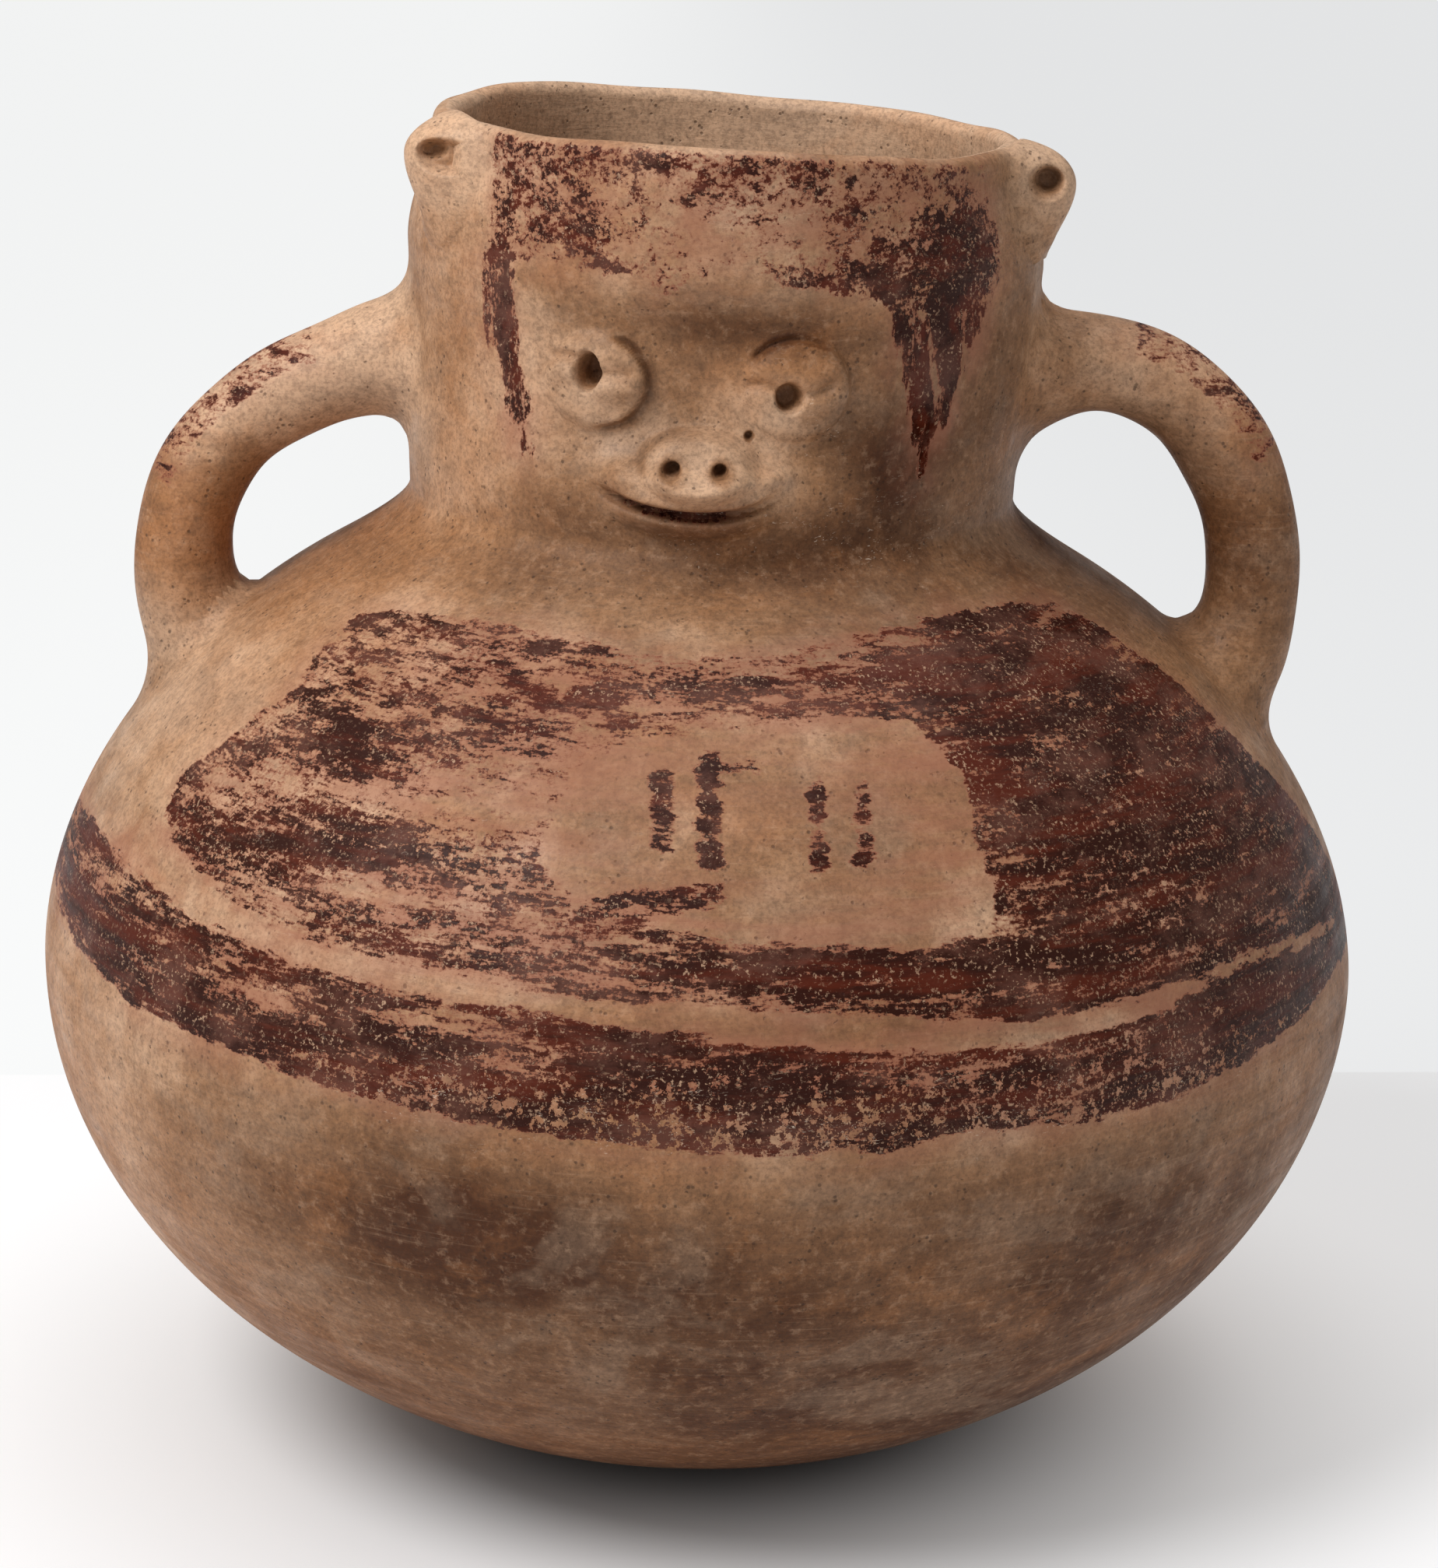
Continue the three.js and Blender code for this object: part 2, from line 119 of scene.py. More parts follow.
def wall_at(z):
    low = mix(BASE_WALL, BODY_WALL, np.clip(z, 0, None) / BELLY_HEIGHT)
    high = mix(BODY_WALL, RIM_WALL, (z - BELLY_HEIGHT) / (RIM_LEVEL - BELLY_HEIGHT))
    return np.where(z < BELLY_HEIGHT, low, high)


print("shoulder rises", round(SHOULDER_RISE, 1), "mm, base drops", round(BASE_DROP, 1), "mm")

# %% [markdown]
# ## The thumb marks
#
# Nothing on such a jar is exact. Long, low waves stand for the potter's hands: the wall wanders by half a
# millimetre and the lip rises and falls. A sum of a few sine waves round the jar is enough, and it gives the
# same jar each time. It only ever goes inwards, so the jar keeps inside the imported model's box.

# %% Unevenness of a hand-raised wall
# Each wave: how often it goes round, its run in height, its size in millimetres and its start.
WAVES = (
    (2, 40, 0.2, 1.1), (3, -55, 0.14, -0.7), (5, 23, 0.1, 2), (8, -13, 0.06, 0.4), (13, 9, 0.035, 3),
)
NECK_SHIFT, RIM_SQUEEZE = 1.8, 7.0
RIM_DROP = 0.7
LIP_WAVES = ((2, 0.5, 0.4), (3, 0.45, 2.2), (5, 0.3, 1.0), (9, 0.16, 4.0), (14, 0.1, 0.3))


def unevenness(azimuth, z):
    """Millimetres, never above zero. Azimuth is in degrees round the jar from its front."""
    a = np.radians(azimuth)
    total = sum(size for _, _, size, _ in WAVES)
    return sum(size * np.sin(n * a + z / run + start) for n, run, size, start in WAVES) - total


def neck_drift(azimuth, z):
    """The neck stands a little to the right, and its rim was squeezed between two hands."""
    a = np.radians(azimuth)
    return NECK_SHIFT * np.sin(a) * rise(z, 236, 270) - RIM_SQUEEZE * np.sin(a) ** 2 * rise(z, 288, 316)


def lip_wave(azimuth):
    a = np.radians(azimuth)
    return sum(size * np.sin(n * a + start) for n, size, start in LIP_WAVES)


def lip_change(azimuth, z):
    """The lip's waves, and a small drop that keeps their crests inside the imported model's box."""
    return lip_wave(azimuth) * rise(z, 292, RIM_LEVEL) - RIM_DROP * rise(z, 300, RIM_LEVEL)


print("wall wanders by", 2 * sum(w[2] for w in WAVES), "mm")

# %% [markdown]
# ## The face as a relief
#
# On the real jar the face is partly pushed out from inside the neck and partly laid on: two discs for eyes,
# each with a fold of lid and a pit pressed with a stick, and a roll of clay that swells into a snout above a
# plain smile. All of it follows the neck's round wall, so it can be written as a relief: how far the clay
# stands out at each place. Every piece of the face is then settled on that one relief, and no joint shows,
# just as the wet clay was smoothed over on the jar.

# %% Relief of brow, cheeks and chin
FACE_TURN = -3.2
MM_PER_DEGREE = 75 * math.pi / 180
BROW_HEIGHT, EYE_HOLLOW = 62, 4.2
JAW_HEIGHT, JAW_OUT = 19.0, 3.5


def across(azimuth, middle):
    return (azimuth - middle) * MM_PER_DEGREE


def from_place(azimuth, z, place):
    """Millimetres to the right of a place on the face, and above it."""
    return across(azimuth, place[0]), z - place[1]


def face_ground(azimuth, z):
    """The hollow that the thumbs pressed round the eyes, and the swelling of the jaw."""
    x, height = across(azimuth, FACE_TURN), z - NECK_LEVEL
    brow = BROW_HEIGHT + 3 * bump(x, 12) - 0.004 * x * x
    under = 1 - rise(height, brow - 13, brow + 4)
    over = rise(height, 13, 39)
    hollow = -EYE_HOLLOW * under * over * (1 - rise(np.abs(x), 22, 44))
    swell = JAW_OUT * bump(x, 31) * bump(height - JAW_HEIGHT, 9.5)
    bridge = 0.9 * bump(x, 6) * bump(height - 56, 14) - 0.8 * bump(x, 5) * bump(height - 40, 7)
    return hollow + swell + bridge


print("jaw stands out", round(float(face_ground(FACE_TURN, NECK_LEVEL + JAW_HEIGHT)), 1), "mm")

# %% [markdown]
# ## Eyes
#
# Each eye is a flat disc. A fold of lid crosses it, a pit is pressed near its middle, and the tip of a stick
# has drawn round part of its edge. The two differ, as they do on the jar: the left one is marked on its right
# side, the right one above. Angles on a disc are counted in degrees from its right side, upwards.

# %% Relief of the eyes
EYES = {
    "eye_left": dict(
        centre=(-22.0, 267.0), size=(13.8, 11.5), arc=(-12, 62, 160), lids=1.0,
        pit=(-22.9, 269.0), pit_size=(3.2, 4.4), notch=(-22.0, 270.8), depth=4.6,
        fold=((-31.5, 271.5), (-27.5, 272.0), (-25.0, 271.6), (-20.3, 268.4), (-16.0, 268.8), (-12.6, 270.4)),
    ),
    "eye_right": dict(
        centre=(13.6, 266.8), size=(12.7, 12.2), arc=(100, 34, 175), lids=0.5,
        pit=(12.3, 265.2), pit_size=(3.2, 3.5), notch=(11.5, 263.4), depth=3.2,
        fold=((4.8, 267.4), (7.6, 267.9), (9.6, 267.4), (14.7, 266.0), (17.2, 266.6), (20.2, 268.4)),
    ),
}
EYE_EDGE, EYE_DOME = 2.6, 2.6
ARC_DEPTH, ARC_FADE = 1.6, 22


def eye_share(eye, azimuth, z):
    """0 in the middle of the disc and 1 on its edge."""
    x, y = from_place(azimuth, z, eye["centre"])
    return np.hypot(x / eye["size"][0], y / eye["size"][1])


def turn_from(eye, azimuth, z, start):
    """Degrees round the disc from the start, between -180 and 180."""
    x, y = from_place(azimuth, z, eye["centre"])
    return (np.degrees(np.arctan2(y, x)) - start + 180) % 360 - 180


def arc_share(eye, azimuth, z):
    """1 where the stick drew round the disc, and 0 past the ends of that stroke."""
    turn, half, _ = eye["arc"]
    return 1 - rise(np.abs(turn_from(eye, azimuth, z, turn)), half, half + ARC_FADE)


def eye_relief(eye, azimuth, z):
    """How far the disc stands out, and the place's share of the way to its edge."""
    share = eye_share(eye, azimuth, z)
    soft = bump(turn_from(eye, azimuth, z, eye["arc"][2]), 75)
    out = EYE_EDGE * mix(1.0, 0.6, soft) * (1 - rise(share, mix(0.84, 0.4, soft), mix(1.1, 1.35, soft)))
    out = out + EYE_DOME * np.clip(1 - share**2, 0, None)
    out = out - ARC_DEPTH * bump((share - 0.92) * 12.5, 0.75) * arc_share(eye, azimuth, z)
    above = z - np.interp(azimuth, *zip(*eye["fold"]))
    inside = 1 - rise(share, 0.7, 0.98)
    out = out + eye["lids"] * inside * (0.9 * bump(above - 3.8, 2.4) + 1.2 * bump(above + 3.2, 2.4))
    pit_x, pit_y = from_place(azimuth, z, eye["pit"])
    beside = rise(np.abs(pit_x), 1.5, 3.5) * (1 - rise(np.abs(pit_x), 8.5, 11))
    groove = bump(above, 1.25) * (beside * mix(1.5, 1.1, rise(pit_x, -1, 1)))
    pit = np.hypot(pit_x / eye["pit_size"][0], pit_y / eye["pit_size"][1])
    nick = np.hypot(*from_place(azimuth, z, eye["notch"]))
    pit = np.minimum(pit, 0.56 + nick / 2.4)
    return mix(out - groove, EYE_EDGE - eye["depth"], 1 - rise(pit, 0.6, 1.14)), share


print("eyes stand out", EYE_EDGE + EYE_DOME, "mm")

# %% [markdown]
# ## Snout, nostrils and mouth
#
# The upper lip hangs over a slit that curves up at both ends, and the snout is its thick middle, pressed flat
# in front. The nostrils were pricked with a straw. Under the slit a thinner roll makes the lower lip.

# %% Relief of the mouth
SLIT = (
    (-34, 248.5), (-24, 244.6), (-19.2, 242.7), (-16, 241.5), (-11.5, 240.1), (-6.5, 239.2), (-1.5, 239),
    (2.8, 239.7), (6.5, 241), (11.5, 243.8), (17, 246.4), (28, 250),
)
SNOUT, SNOUT_SIZE, SNOUT_OUT = (-2.9, 250.9), (12.6, 6.4, 8.0), 6.2
NOSTRILS = ((-7.0, 249.4, 1.8), (0.7, 249.6, 1.5))
CHIP, CHIP_SIZE = (5.8, 256.2), 1.1
LIP_MIDDLE = -4.0
UPPER_LIP, LOWER_LIP, SLIT_DEPTH, NOSTRIL_DEPTH, CHIP_DEPTH = 4.6, 2.7, 2.6, 4.6, 1.6


def slit_height(azimuth):
    """Height of the mouth's slit. The average over a few degrees rounds its corners."""
    nearby = [np.interp(azimuth + turn, *zip(*SLIT)) for turn in (-3, -1.5, 0, 1.5, 3)]
    return sum(nearby) / len(nearby)


def snout_share(azimuth, z):
    (x, y), (wide, up, down) = from_place(azimuth, z, SNOUT), SNOUT_SIZE
    return np.hypot(x / wide, y / np.where(y > 0, up, down))


def mouth_relief(azimuth, z):
    side, above = np.abs(across(azimuth, LIP_MIDDLE)), z - slit_height(azimuth)
    wing = rise(side, 12, 24)
    upper = UPPER_LIP * (1 - rise(side, 7, 27))
    out = upper * rise(above, mix(0.0, -1.5, wing), mix(1.9, 4.0, wing))
    out = out * (1 - rise(above, 2.5, 12))
    lower = LOWER_LIP * (1 - rise(side, 9, 24))
    out = out + lower * rise(-above, 0.2, 2.2) * (1 - rise(-above, 2.4, 7.0))
    slit = 1 - rise(np.abs(across(azimuth, -8.0)), 9, 19)
    out = out - SLIT_DEPTH * slit * bump(above + 0.1, 0.95)
    out = out + SNOUT_OUT * (1 - rise(snout_share(azimuth, z), 0.66, 1.2))
    ridge = bump(above - 9 + 0.22 * side, 2.2) * bump(side - 15, 6)
    out = out + 1.8 * ridge
    for *place, size in NOSTRILS:
        hole = np.hypot(*from_place(azimuth, z, place)) / size
        out = out - NOSTRIL_DEPTH * (1 - rise(hole, 0.55, 1.25)) + 0.5 * bump(hole - 1.6, 0.45)
    chip = np.hypot(*from_place(azimuth, z, CHIP)) / CHIP_SIZE
    return out - CHIP_DEPTH * (1 - rise(chip, 0.5, 1.1))


def mouth_edges(azimuth, z):
    """How far inside the upper and the lower lip a place is, in millimetres."""
    x, above = across(azimuth, LIP_MIDDLE + 1), z - slit_height(azimuth)
    round_edge = 12 * (1 - np.hypot(x / 31, (z - 247.5) / 13))
    band = 7.5 - np.abs(above + 1.5)
    ends = (25 - np.abs(x)) * 0.7
    return np.minimum(round_edge, above), np.minimum(np.minimum(band, ends), -above)


print("snout stands out", SNOUT_OUT + UPPER_LIP, "mm")

# %% [markdown]
# ## Handles and ears
#
# A handle is a rod of clay, bent by eye from the neck to the shoulder. Its middle line is the same curve as
# in the solid model. An ear is a lug with a pit pressed into it from the front. Both are written as
# distances: how far a point is outside the clay, with a minus sign inside it.

# %% Middle lines of the handles
HANDLE_THICKNESS, HANDLE_WIDTH = 22.5, 26.0
HANDLE_FLARE, HANDLE_FLARE_LENGTH = (0.2, 0.1), 15.0
HANDLE_FOOT, HANDLE_FOOT_DEPTH = 44.0, 14.0
HANDLES = {
    "handle_left": dict(side=-1, spring=38, climb=-11, reach=52, bow=17, hang=43),
    "handle_right": dict(side=1, spring=36, climb=21, reach=50, bow=29, hang=33),
}
CURVE_STEPS = 240


def handle_line(side, spring, climb, reach, bow, hang):
    """Points, directions and outward directions at even steps along a handle's middle."""
    neck_z = NECK_LEVEL + spring
    neck_x = float(neck_radius(neck_z)) - BODY_WALL / 2
    foot_z = NECK_LEVEL - HANDLE_FOOT
    foot_x = float(outer_radius(foot_z)) - HANDLE_FOOT_DEPTH
    pulls = [(neck_x + reach, neck_z + climb), (foot_x + bow, foot_z + hang)]
    p = np.array([(side * x, 0.0, z) for x, z in [(neck_x, neck_z), *pulls, (foot_x, foot_z)]])
    t = np.linspace(0, 1, 1200)[:, None]
    fine = p[0] * (1 - t) ** 3 + 3 * p[1] * t * (1 - t) ** 2 + 3 * p[2] * t**2 * (1 - t) + p[3] * t**3
    run = np.concatenate([[0], np.cumsum(np.linalg.norm(np.diff(fine, axis=0), axis=1))])
    even = np.linspace(0, run[-1], CURVE_STEPS + 1)
    points = np.stack([np.interp(even, run, fine[:, i]) for i in range(3)], axis=1)
    along = unit_rows(np.gradient(points, axis=0))
    outward = np.cross((0, 1, 0), along) * -side
    return dict(points=points, along=along, outward=outward, run=even, side=side)


LINES = {name: handle_line(**spec) for name, spec in HANDLES.items()}
for name, line in LINES.items():
    print(name, "is", round(line["run"][-1]), "mm long along its middle")


def handle_swell(line, run):
    from_neck = np.clip(run - BODY_WALL / 2, 0, None)
    from_shoulder = np.clip(line["run"][-1] - run - HANDLE_FOOT_DEPTH, 0, None)
    wave = 0.02 * np.sin(run / 9 + line["side"]) + 0.015 * np.sin(run / 4.3)
    at_neck = HANDLE_FLARE[0] * bump(from_neck, HANDLE_FLARE_LENGTH)
    at_shoulder = HANDLE_FLARE[1] * bump(from_shoulder, HANDLE_FLARE_LENGTH)
    return 1 + at_neck + at_shoulder + wave


def nearest_on(line, points):
    """Index of the nearest step of the middle line for each point, worked out in batches to save memory."""
    found = np.empty(len(points), int)
    for start in range(0, len(points), 4000):
        part = points[start : start + 4000]
        gap = ((part[:, None, :] - line["points"][None]) ** 2).sum(axis=2)
        found[start : start + 4000] = gap.argmin(axis=1)
    return found


def oval_distance(u, v, a, b):
    """Distance to an oval with half sizes a and b, good near its edge."""
    k0 = np.hypot(u / a, v / b)
    k1 = np.hypot(u / a**2, v / b**2)
    return np.where(k1 > 1e-6, k0 * (k0 - 1) / np.maximum(k1, 1e-6), -np.minimum(a, b))


def handle_distance(line, points):
    near = nearest_on(line, points)
    offset = points - line["points"][near]
    u = (offset * line["outward"][near]).sum(axis=1)
    v = offset[:, 1]
    swell = handle_swell(line, line["run"][near])
    return oval_distance(u, v, HANDLE_THICKNESS / 2 * swell, HANDLE_WIDTH / 2 * swell)


# %% Lugs of the ears
# Half sizes are to the side, up and down. A hole is its place on the lug, its half sizes and its depth.
# The cut is how deep a lug may go into the wall, so that none of it shows inside the neck.
EAR_CUT = 3.4
EARS = {
    "ear_left": dict(
        azimuth=-60.5, level=310.8, proud=2.0, size=(9.0, 7.2, 14.0),
        holes=((0.6, 0.2, 7.4, 4.8, 3.8), (-2.4, 1.6, 4.0, 2.6, 2.2)),
    ),
    "ear_right": dict(
        azimuth=75.0, level=310.5, proud=3.9, size=(7.7, 7.9, 13.0),
        holes=((0.2, 0.9, 5.4, 5.0, 2.2), (0.9, 1.5, 3.9, 3.7, 3.4)),
    ),
}


def ear_middle(ear):
    a, level = math.radians(ear["azimuth"]), ear["level"]
    wall = float(outer_radius(level) + neck_drift(ear["azimuth"], level))
    return np.array((math.sin(a), -math.cos(a), 0)) * (wall + ear["proud"]) + np.array((0, 0, level))


def ear_distance(ear, points):
    offset = points - ear_middle(ear)
    breadth, up, down = ear["size"]
    y = offset[:, 2]
    half = np.where(y > 0, up, down)
    lean = breadth * (1 - 0.3 * np.clip(-y / down, 0, 1) ** 2)
    flat = np.hypot(offset[:, 0], offset[:, 1])
    return np.maximum(oval_distance(flat, y, lean, half), depth_in_wall(points) - EAR_CUT)


def ear_holes(ear, places):
    """How far the tip of the stick pressed each point back."""
    offset = places - ear_middle(ear)
    back = np.zeros(len(places))
    for x, z, wide, tall, depth in ear["holes"]:
        share = np.hypot((offset[:, 0] - x) / wide, (offset[:, 2] - z) / tall)
        back += depth * (1 - rise(share, 0.45, 1.0))
    return back * (offset[:, 1] < 0)


print("ears at", [ear["azimuth"] for ear in EARS.values()], "degrees round the neck")

# %% [markdown]
# ## One skin of clay
#
# Wet clay has no joints: the potter smooths each root over until it runs into the wall. A smooth union of
# two distances does the same. Where two pieces come within a few millimetres of each other, it fills the
# corner with a fillet. Each piece is then moved out onto that one skin, and dips a little below it where its
# neighbour takes over, so two meshes cross at a very flat angle and the eye finds no seam.

# %% The skin and how pieces settle on it
HANDLE_FILLET, EAR_FILLET, INNER_FILLET = 10.0, 12.0, 2.5
EAR_REACH, HANDLES_FROM = 32.0, 45.0
HOLLOW_FROM = 284.0
SETTLE_STEPS, STEP_SHARE, CLOSE_ENOUGH = 26, 0.9, 0.004


def cylindrical(points):
    """Degrees round the jar from its front, millimetres from its axis, and height."""
    x, y, z = points.T
    return np.degrees(np.arctan2(x, -y)), np.hypot(x, y), z


def wall_radius(azimuth, z):
    ground = face_ground(azimuth, z) * rise(z, 218, 232)
    return outer_radius(z) + ground + unevenness(azimuth, z) + neck_drift(azimuth, z)


def wall_distance(points):
    azimuth, radius, z = cylindrical(points)
    low = np.minimum(z, CROWN)
    gap = (radius - wall_radius(azimuth, low)) / np.sqrt(1 + slope(low) ** 2)
    gap = np.where(low > HOLLOW_FROM, np.maximum(gap, -gap - RIM_WALL), gap)
    bead = RIM_WALL / 2
    lip = np.hypot(np.maximum(gap + bead, 0), np.clip(z - CROWN, 0, None)) - bead
    return np.where(z > CROWN, lip, gap)


def depth_in_wall(points):
    """How far towards the axis a point is from the outer skin."""
    azimuth, radius, z = cylindrical(points)
    return wall_radius(azimuth, np.minimum(z, CROWN)) - radius


def union(a, b, fillet):
    share = np.clip(0.5 + 0.5 * (b - a) / fillet, 0, 1)
    return mix(b, a, share) - fillet * share * (1 - share)


def added_distances(points):
    """Distance to the nearest handle and to the nearest ear. Far from them it is only a large number."""
    handles = np.full(len(points), 99.0)
    ears = np.full(len(points), 99.0)
    for line in LINES.values():
        close = line["side"] * points[:, 0] > HANDLES_FROM
        handles[close] = np.minimum(handles[close], handle_distance(line, points[close]))
    for ear in EARS.values():
        close = np.linalg.norm(points - ear_middle(ear), axis=1) < EAR_REACH
        ears[close] = np.minimum(ears[close], ear_distance(ear, points[close]))
    return handles, ears


def clay_distance(points):
    handles, ears = added_distances(points)
    fillet = mix(EAR_FILLET, INNER_FILLET, rise(depth_in_wall(points), 0.0, 4.5))
    return union(union(wall_distance(points), handles, HANDLE_FILLET), ears, fillet)


def settle(points, ways, reach):
    """Moves points out of the clay along their ways, or as far as they may reach."""
    run = np.zeros(len(points))
    live = np.arange(len(points))
    for _ in range(SETTLE_STEPS):
        gap = clay_distance(points[live] + ways[live] * run[live, None])
        run[live] = np.clip(run[live] - gap * STEP_SHARE, 0, reach[live])
        live = live[np.abs(gap) > CLOSE_ENOUGH]
        if not len(live):
            break
    return points + ways * run[:, None]


print("fillets of", HANDLE_FILLET, "mm at the handles and", EAR_FILLET, "mm at the ears")

# %% [markdown]
# ## From the wheel of numbers to a mesh
#
# Each piece starts as a simple bmesh shape, and its points are read into an array, moved, and written back.
# The last step is the same for all: the rim falls to one side, the whole jar leans by almost two degrees, the
# worn foot is cut level, and millimetres become metres.

# %% Helpers that finish a piece
LEAN = math.radians(1.8)
RIM_TILT, TILT_START, TILT_REACH = 0.035, 40.0, 88
FOOT_ZONE, FOOT_SOFTNESS, FOOT_DROP = 6, 0.16, 0.01


def only(geom, kind):
    return [g for g in geom if isinstance(g, kind)]


def read_points(bm):
    return np.array([v.co[:] for v in bm.verts])


def write_points(bm, points):
    for vert, point in zip(bm.verts, points):
        vert.co = point


def stand_up(points):
    """The rim's fall, the lean and the level foot, then metres."""
    x, y, z = points.T
    z = z - RIM_TILT * np.clip(x, -TILT_REACH, TILT_REACH) * rise(z, NECK_LEVEL + TILT_START, RIM_LEVEL)
    z = z - BELLY_HEIGHT
    turned_x = x * math.cos(LEAN) + z * math.sin(LEAN)
    turned_z = -x * math.sin(LEAN) + z * math.cos(LEAN) + BELLY_HEIGHT
    worn = 0.5 * (turned_z + np.sqrt(turned_z**2 + FOOT_SOFTNESS)) - FOOT_DROP
    turned_z = np.where(turned_z < FOOT_ZONE, np.maximum(worn, 0), turned_z)
    return np.stack([turned_x, y, turned_z], axis=1) / 1000


def put_in_scene(name, data):
    thing = bpy.data.objects.new(name, data)
    bpy.context.collection.objects.link(thing)
    return thing


def finished_piece(name, bm, places, slot, outside=1.0):
    """Makes the object, puts it in the frame and keeps its places from before the lean for the paint."""
    write_points(bm, stand_up(places))
    bmesh.ops.recalc_face_normals(bm, faces=bm.faces)
    if bm.calc_volume(signed=True) < 0:
        bmesh.ops.reverse_faces(bm, faces=bm.faces)
    for face in bm.faces:
        face.smooth = True
    mesh = bpy.data.meshes.new("clay_" + name)
    bm.to_mesh(mesh)
    bm.free()
    piece = put_in_scene("clay_" + name, mesh)
    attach(piece, "root")
    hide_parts(name)
    PIECES[name] = (piece, slot, places, outside)
    print(name, "has", sum(len(p.vertices) - 2 for p in mesh.polygons), "triangles")


PIECES = {}

# %% [markdown]
# ## The courses of wall
#
# Base, belly, shoulder, neck and lip are rings of wall that meet at slanted joints. Each is a closed profile
# turned about the axis with spin, whose ends are merged. A number painted on the profile's points, 1 outside
# and 0 inside, travels with them round the jar and says which points settle on the outer skin.

# %% Profiles of the courses
SCARF = 6.0


def profile_line(low, high, spacing, inside=False):
    """Evenly spaced points of radius and height on the outer line, or one wall's thickness inside it."""
    z = np.linspace(low, high, 400)
    radius, tilt = outer_radius(z), slope(z)
    length = np.sqrt(1 + tilt**2)
    depth = wall_at(z) if inside else 0 * z
    line = np.stack([radius - depth / length, z + depth * tilt / length], axis=1)
    run = np.concatenate([[0], np.cumsum(np.linalg.norm(np.diff(line, axis=0), axis=1))])
    count = max(2, round(run[-1] / spacing))
    stops = np.concatenate([[0, 0.3], np.linspace(0, run[-1], count + 1)[1:-1], [run[-1] - 0.3, run[-1]]])
    return [(float(np.interp(s, run, line[:, 0])), float(np.interp(s, run, line[:, 1]))) for s in stops]


def turned(profile, steps, closed=True):
    """Spins an eighth of a turn, and copies of that slice, each twice the last, close the ring."""
    bm = bmesh.new()
    side, corner = bm.verts.layers.float.new("outside"), bm.verts.layers.int.new("corner")
    row = [bm.verts.new((0, -radius, z)) for radius, z, _ in profile]
    for i, vert in enumerate(row):
        vert[side] = profile[i][2]
        near = (profile[i - 1][2], profile[(i + 1) % len(row)][2])
        vert[corner] = i + 1 if any(abs(profile[i][2] - other) > 0.9 for other in near) else 0
    ends = list(zip(row, row[1:] + row[:1])) if closed else list(zip(row, row[1:]))
    edges = [bm.edges.new(pair) for pair in ends]
    slice_angle = math.pi / 4
    bmesh.ops.spin(bm, geom=row + edges, cent=(0, 0, 0), axis=(0, 0, 1), angle=slice_angle, steps=steps // 8)
    for doubling in range(3):
        copied = bmesh.ops.duplicate(bm, geom=bm.verts[:] + bm.edges[:] + bm.faces[:])["geom"]
        turn = Matrix.Rotation(slice_angle * 2**doubling, 3, "Z")
        bmesh.ops.rotate(bm, cent=(0, 0, 0), matrix=turn, verts=only(copied, bmesh.types.BMVert))
    bmesh.ops.remove_doubles(bm, verts=bm.verts, dist=1e-3)
    for edge in bm.edges:
        first, second = (v[corner] for v in edge.verts)
        if first and first == second:
            edge.smooth = False
    return bm


def wall_piece(name, profile, steps, slot, closed=True):
    bm = turned(profile, steps, closed)
    side = bm.verts.layers.float["outside"]
    outside = np.array([v[side] for v in bm.verts])
    finished_piece(name, bm, settle_wall(read_points(bm), outside), slot, outside)


# %% [markdown]
# A wall's outer points first take the face's relief and the unevenness, then move out along the wall's own
# normal where a handle or an ear grows from it. Under the laid-on eyes and lips the wall drops away, so that
# those pieces are what shows.

# %% Settle a wall
NEAR_HANDLE, NEAR_EAR = 14.0, 6.0
HANDLE_ROOT, EAR_ROOT = 7.0, 3.4
ROOTS_FROM, UNDER_FACE = 130.0, 2.6


def feature_edges(azimuth, z):
    """How far inside each laid-on piece of the face a place is, in millimetres."""
    edges = {name: 13 * (1.1 - eye_share(eye, azimuth, z)) for name, eye in EYES.items()}
    edges["muzzle"], edges["lower_lip"] = mouth_edges(azimuth, z)
    return edges


def face_hollow_shade_and_dirt(azimuth, z):
    """1 in pits, folds and marks, darkened as painted shade with grime in the hollows, and 0 on open skin."""
    deep = np.zeros(len(z))
    for eye in EYES.values():
        out, share = eye_relief(eye, azimuth, z)
        plain = (EYE_EDGE * 0.6 + EYE_DOME) * np.clip(1.1 - share**2, 0, None)
        deep += np.clip((plain - out - 0.8) / 5.4, 0, 1) * (share < 0.86)
        arc = bump((share - 0.92) * 12.5, 1.2) * (out < EYE_EDGE)
        deep += 0.8 * arc * arc_share(eye, azimuth, z)
    for *place, size in NOSTRILS:
        hole = np.hypot(*from_place(azimuth, z, place)) / size
        deep += mix(0.9, 0.35, rise(hole, 0.7, 1.2)) * (1 - rise(hole, 1.1, 2.6))
    deep += 1 - rise(np.hypot(*from_place(azimuth, z, CHIP)), 0.8, 1.4)
    x, y = from_place(azimuth, z, SNOUT)
    flank = rise(-x, 2, 8) * rise(y, -4, -1)
    deep += 0.4 * bump(snout_share(azimuth, z) - 1.02, 0.16) * flank
    above = z - slit_height(azimuth)
    middle = 1 - rise(np.abs(across(azimuth, -7)), 10, 24)
    return np.clip(deep + 0.6 * bump(above - 0.2, 1.4) * middle, 0, 1)


def face_relief(azimuth, z):
    """Everything laid on the neck, above its ground."""
    out = mouth_relief(azimuth, z)
    for eye in EYES.values():
        eye_out, share = eye_relief(eye, azimuth, z)
        out = out + np.where(share < 1.3, eye_out, 0)
    return out


def on_face(azimuth, z):
    return (np.abs(azimuth - FACE_TURN) < 48) & (z > 224) & (z < 290)


